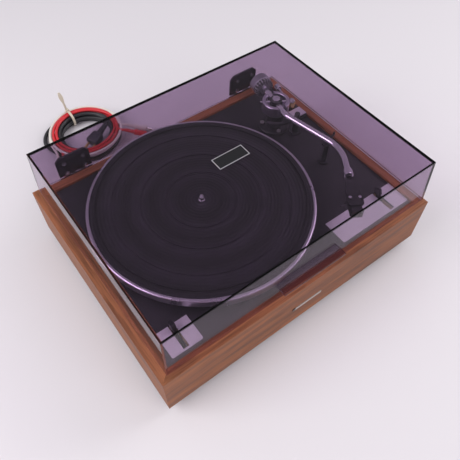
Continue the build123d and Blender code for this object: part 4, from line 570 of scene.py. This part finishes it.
# ---------------------------------------------------------------- mains plug
# One moulding of dark grey rubbery plastic with a ribbed relief on the lead and two
# brass pins moulded in. It leans from the coil down onto the floor inside it.
def turned(name, rings, place, sides):
    """A round piece: a disc pulled up ring by ring, each given as (radius, height)."""
    deselect()
    radius, height = rings[0]
    bpy.ops.mesh.primitive_circle_add(
        vertices=sides, radius=radius, fill_type="NGON", location=(0, 0, height)
    )
    piece = bpy.context.object
    piece.name = name
    bpy.ops.object.transform_apply(location=True, rotation=True, scale=True)
    bpy.ops.object.mode_set(mode="EDIT")
    bpy.ops.mesh.select_all(action="SELECT")
    for next_radius, next_height in rings[1:]:
        bpy.ops.mesh.extrude_region_move(TRANSFORM_OT_translate={"value": (0, 0, next_height - height)})
        growth = next_radius / radius
        bpy.ops.transform.resize(value=(growth, growth, 1), center_override=(0, 0, next_height))
        radius, height = next_radius, next_height
    bpy.ops.mesh.select_all(action="SELECT")
    bpy.ops.mesh.normals_make_consistent(inside=False)
    bpy.ops.object.mode_set(mode="OBJECT")
    piece.data.transform(place)
    bpy.ops.object.shade_smooth_by_angle(angle=math.radians(35))
    return piece


def block(size, cuts=0, rounding=0.0):
    """A box of a size, cut across into smaller faces or with its edges rounded."""
    deselect()
    bpy.ops.mesh.primitive_cube_add(size=1.0)
    piece = bpy.context.object
    bpy.ops.object.mode_set(mode="EDIT")
    bpy.ops.mesh.select_all(action="SELECT")
    bpy.ops.transform.resize(value=size, center_override=(0, 0, 0))
    if cuts:
        bpy.ops.mesh.subdivide(number_cuts=cuts)
    if rounding:
        bpy.ops.mesh.bevel(offset=rounding, segments=2, affect="EDGES")
    bpy.ops.object.mode_set(mode="OBJECT")
    return piece


def join(name, pieces):
    deselect()
    for piece in pieces:
        piece.select_set(True)
    bpy.context.view_layer.objects.active = pieces[0]
    bpy.ops.object.join()
    joined = bpy.context.object
    joined.name = name
    return joined


def aimed(origin, way):
    """A place whose Z axis runs along a way, its X axis level."""
    way = Vector(way).normalized()
    across = Vector((0, 0, 1)).cross(way).normalized()
    return placed(origin, across, way.cross(across), way)


PLUG_SPOT = (-0.0465, 0.3032, 0.0167)
PLUG_HEADING = math.radians(205)
PLUG_DROP = math.radians(13)
PLUG_BODY = (0.022, 0.016, 0.0235)
PLUG_BODY_AT = 0.0240
PIN_APART = 0.0065
PIN_RINGS = [(0.0021, 0.0350), (0.0021, 0.0505), (0.0016, 0.0518)]
RIBS = 5
plug_level = math.cos(PLUG_DROP)
plug_way = (math.cos(PLUG_HEADING) * plug_level, math.sin(PLUG_HEADING) * plug_level, -math.sin(PLUG_DROP))
plug_place = aimed(PLUG_SPOT, plug_way)
rings = [(0.0040, -0.0060)]
for k in range(RIBS):
    start = -0.0052 + 0.0034 * k
    rib = 0.0042 + 0.0003 * k
    groove = 0.0036 + 0.0003 * k
    rings += [(rib, start), (rib, start + 0.0018), (groove, start + 0.0022), (groove, start + 0.0030)]
rings += [(0.0058, 0.0118), (0.0060, 0.0125)]
plug_relief = turned("plug_relief", rings, plug_place, 28)
plug_body = block(PLUG_BODY, cuts=1)
for vertex in plug_body.data.vertices:
    if vertex.co.z < -0.005:
        vertex.co.x *= 0.78
        vertex.co.y *= 0.85
    elif vertex.co.z <= 0:
        vertex.co.x *= 0.90
soft = plug_body.modifiers.new("soft edges", "BEVEL")
soft.width = 0.0028
soft.segments = 4
bpy.ops.object.modifier_apply(modifier=soft.name)
plug_body.data.transform(plug_place @ Matrix.Translation((0, 0, PLUG_BODY_AT)))
bpy.ops.object.shade_smooth_by_angle(angle=math.radians(40))
pin_left = turned("pin_left", PIN_RINGS, plug_place @ Matrix.Translation((-PIN_APART, 0, 0)), 20)
pin_right = turned("pin_right", PIN_RINGS, plug_place @ Matrix.Translation((PIN_APART, 0, 0)), 20)
plug_grey = finish("plug_grey", (0.035, 0.037, 0.045), 0.45, scale=120, bump=0.15)
brass = finish("brass", (0.78, 0.55, 0.26), 0.28, metallic=1.0, scale=90)
for piece, material in (
    (plug_relief, plug_grey),
    (plug_body, plug_grey),
    (pin_left, brass),
    (pin_right, brass),
):
    piece.data.materials.append(material)
mains_plug = join("mains_plug_moulding", [plug_body, plug_relief, pin_left, pin_right])
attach(mains_plug, "plinth")
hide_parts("mains_plug")

# ---------------------------------------------------------------- phono plugs
# Each screened lead ends in a plug with a soft ringed sleeve on the lead, a plastic
# barrel with a grip waist, a split metal collar and a centre pin.
PHONO_DROP = math.radians(21)
PHONO_PLUG_AT = 0.0829
PHONO_PLUG_HIGH = 0.0153
phono_way = PHONO_OUT * math.cos(PHONO_DROP) - Vector((0, 0, math.sin(PHONO_DROP)))
sleeve_rings = [(0.0026, -0.0160)]
for k in range(RIBS):
    start = -0.0150 + 0.0030 * k
    rib = 0.0030 + 0.0001 * k
    groove = 0.0025 + 0.0001 * k
    sleeve_rings += [(rib, start), (rib, start + 0.0015), (groove, start + 0.0018), (groove, start + 0.0026)]
barrel_rings = sleeve_rings + [
    (0.0034, 0.0),
    (0.0044, 0.0002),
    (0.0050, 0.0012),
    (0.0050, 0.0050),
    (0.0046, 0.0070),
    (0.0046, 0.0140),
    (0.0050, 0.0160),
    (0.0050, 0.0212),
    (0.0046, 0.0218),
]
collar_rings = [(0.0041, 0.0215), (0.0041, 0.0292), (0.0038, 0.0299), (0.0030, 0.0299), (0.0030, 0.0290)]
pin_rings = [(0.0016, 0.0285), (0.0016, 0.0350), (0.0010, 0.0359)]
phono_metal = finish("phono_metal", (0.72, 0.70, 0.66), 0.25, metallic=1.0, scale=140)
for name, across, barrel_finish in (
    ("white", PHONO_HALF_GAP, lead_white),
    ("red", -PHONO_HALF_GAP, lead_red),
):
    place = aimed(beside_coil(PHONO_PLUG_AT, across, PHONO_PLUG_HIGH), phono_way)
    barrel = turned(name + "_barrel", barrel_rings, place, 28)
    barrel.data.materials.append(barrel_finish)
    collar = turned(name + "_collar", collar_rings, place, 28)
    collar.data.materials.append(phono_metal)
    pin = turned(name + "_pin", pin_rings, place, 16)
    pin.data.materials.append(phono_metal)
    plug = join("phono_plug_" + name, [barrel, collar, pin])
    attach(plug, "plinth")
    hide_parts("phono_plugs")

# ---------------------------------------------------------------- tie and lead bushes
# A cream nylon tie holds the bundle, its tail standing up from its head and widening near
# the end. The leads pass through black rubber bushes pressed into the rear board.
BAND_R = 0.0146
BAND_WIDE = 0.004
BAND_THICK = 0.0011
BAND_RIB = 1.0072       # how much further out the band stands at each rib
TAIL = (0.0013, 0.0034, 0.036)
TAIL_LEAN = 0.006
HEAD = (0.0052, 0.0062, 0.0046)
tie_mid = round_coil(0.050, TIE_ANGLE, 0.015)
tie_out = (round_coil(0.051, TIE_ANGLE, 0.015) - tie_mid).normalized()
tie_turn = Matrix.Rotation(math.radians(TIE_ANGLE), 4, "Z")
deselect()
bpy.ops.mesh.primitive_circle_add(
    vertices=60, radius=BAND_R, fill_type="NOTHING", location=(0, 0, -BAND_WIDE / 2)
)
tie_band = bpy.context.object
bpy.ops.object.transform_apply(location=True, rotation=True, scale=True)
bpy.ops.object.mode_set(mode="EDIT")
bpy.ops.mesh.select_all(action="SELECT")
bpy.ops.mesh.extrude_region_move(TRANSFORM_OT_translate={"value": (0, 0, BAND_WIDE)})
bpy.ops.object.mode_set(mode="OBJECT")
for vertex in tie_band.data.vertices:
    if int(math.degrees(math.atan2(vertex.co.y, vertex.co.x)) // 6) % 2:
        vertex.co.x *= BAND_RIB
        vertex.co.y *= BAND_RIB
thick = tie_band.modifiers.new("band", "SOLIDIFY")
thick.thickness = BAND_THICK
thick.offset = 1.0
bpy.ops.object.modifier_apply(modifier=thick.name)
tie_band.data.transform(aimed(tie_mid, Vector((0, 0, 1)).cross(tie_out)))

tie_tail = block(TAIL, cuts=7)
for vertex in tie_tail.data.vertices:
    share = vertex.co.z / TAIL[2] + 0.5
    if share > 0.55:
        vertex.co.y *= 1.0 + 1.1 * math.sin(math.pi * min(1.0, (share - 0.55) / 0.42)) ** 0.7
    vertex.co.x += TAIL_LEAN * share * share
tail_spot = Matrix.Translation(tie_mid + tie_out * 0.006 + Vector((-0.001, 0, 0.0310)))
tie_tail.data.transform(tail_spot @ tie_turn @ Matrix.Rotation(math.radians(10), 4, "Y"))
tie_head = block(HEAD, rounding=0.0007)
head_spot = Matrix.Translation(tie_mid + tie_out * 0.004 + Vector((0, 0, 0.0155)))
tie_head.data.transform(head_spot @ tie_turn)

tie_cream = finish("tie_cream", (0.66, 0.60, 0.48), 0.45, scale=200, change=0.15, bump=0.2)
bush_rubber = finish("bush_rubber", (0.018, 0.018, 0.020), 0.55, scale=140, bump=0.2)
cable_tie = join("cable_tie_nylon", [tie_band, tie_tail, tie_head])
cable_tie.data.materials.clear()
cable_tie.data.materials.append(tie_cream)
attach(cable_tie, "plinth")
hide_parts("cable_tie")
dress(bush_rubber, "cord_reliefs")

# ---------------------------------------------------------------- dust cover
# The cover is one moulding of smoke-purple acrylic, 3 mm thick. Its polished top edges are
# painted near black, a painted shade for how they look, and the light that falls through a wall is tinted by
# it once.
COVER_MIDDLE = (0.0035, -0.0030, 0)
RIM_HALF_WIDTH = 0.2042
RIM_HALF_DEPTH = 0.1582
RIM_FOOT = 0.1661


def past_edges(tree, split, half_width, half_depth):
    """A mask that is one outside a rectangle round the middle, past its sides or its ends."""
    either = maths(tree, "MAXIMUM")
    for k, half in enumerate((half_width, half_depth)):
        away = maths(tree, "ABSOLUTE")
        past = maths(tree, "GREATER_THAN", half)
        tree.links.new(split.outputs[k], away.inputs[0])
        tree.links.new(away.outputs[0], past.inputs[0])
        tree.links.new(past.outputs[0], either.inputs[k])
    return either


cover_smoke, tree, surface = new_material("cover_smoke")
surface.inputs["Transmission Weight"].default_value = 1.0
surface.inputs["IOR"].default_value = 1.22
surface.inputs["Roughness"].default_value = 0.02
split = measured_from(tree, COVER_MIDDLE)
outer = past_edges(tree, split, RIM_HALF_WIDTH, RIM_HALF_DEPTH)
high = maths(tree, "GREATER_THAN", RIM_FOOT)
painted_edge_shade = maths(tree, "MULTIPLY")
# Where the edge mask is one the colour turns near black: painted shade on the top edges, not the acrylic's
# own colour.
tint = two_colours(tree, (0.60, 0.505, 0.62), (0.012, 0.008, 0.014))
light = add(tree, "ShaderNodeLightPath")
root_tint = add(tree, "ShaderNodeGamma", Gamma=0.5)
clear = add(tree, "ShaderNodeBsdfTransparent")
mixed = add(tree, "ShaderNodeMixShader")
link = tree.links.new
link(split.outputs["Z"], high.inputs[0])
link(outer.outputs[0], painted_edge_shade.inputs[0])
link(high.outputs[0], painted_edge_shade.inputs[1])
link(painted_edge_shade.outputs[0], tint.inputs[0])
link(tint.outputs[2], surface.inputs["Base Color"])
link(tint.outputs[2], root_tint.inputs["Color"])
link(root_tint.outputs[0], clear.inputs["Color"])
link(light.outputs["Is Shadow Ray"], mixed.inputs[0])
link(surface.outputs[0], mixed.inputs[1])
link(clear.outputs[0], mixed.inputs[2])
link(mixed.outputs[0], tree.nodes["Material Output"].inputs["Surface"])
dress(cover_smoke, "dust_cover")

# ---------------------------------------------------------------- badges
# The cover's badge is a black foil plate with a bright border, stuck on the cover. The
# front badge is a bright strip with a black end at its left, fixed to the front board.
BORDER_HALF_WIDTH = 0.0225
BORDER_HALF_DEPTH = 0.0088
BLACK_END = 0.0045
badge_black, tree, surface = new_material("badge_black")
surface.inputs["Roughness"].default_value = 0.45
surface.inputs["Specular IOR Level"].default_value = 0.2
split = measured_from(tree, middle_of("cover_badge"))
border = past_edges(tree, split, BORDER_HALF_WIDTH, BORDER_HALF_DEPTH)
blend = two_colours(tree, (0.012, 0.012, 0.014), (0.70, 0.68, 0.72))
link = tree.links.new
link(border.outputs[0], blend.inputs[0])
link(border.outputs[0], surface.inputs["Metallic"])
link(blend.outputs[2], surface.inputs["Base Color"])
dress(badge_black, "cover_badge")

strip_chrome, tree, surface = new_material("strip_chrome")
surface.inputs["Roughness"].default_value = 0.28
strip_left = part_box("front_badge")[0][0]
split = measured_from(tree, (strip_left, 0, 0))
dark_end = maths(tree, "LESS_THAN", BLACK_END)
bright = maths(tree, "SUBTRACT")
bright.inputs[0].default_value = 1.0
blend = two_colours(tree, (0.60, 0.58, 0.56), (0.010, 0.010, 0.012))
link = tree.links.new
link(split.outputs["X"], dark_end.inputs[0])
link(dark_end.outputs[0], blend.inputs[0])
link(dark_end.outputs[0], bright.inputs[1])
link(bright.outputs[0], surface.inputs["Metallic"])
link(blend.outputs[2], surface.inputs["Base Color"])
dress(strip_chrome, "front_badge")

# ---------------------------------------------------------------- hinges
# The cover hangs on two black leaves, each held by chromed screws. They turn on steel
# brackets behind the rear board.
screw_chrome = finish("screw_chrome", (0.74, 0.73, 0.76), 0.2, metallic=1.0, scale=180)
hinge_black = finish("hinge_black", (0.045, 0.042, 0.050), 0.4, scale=160, bump=0.12)
dress(screw_chrome, "hinge_screws")
dress(hinge_black, "hinge_leaves")
dress(bracket_steel, "hinge_brackets")
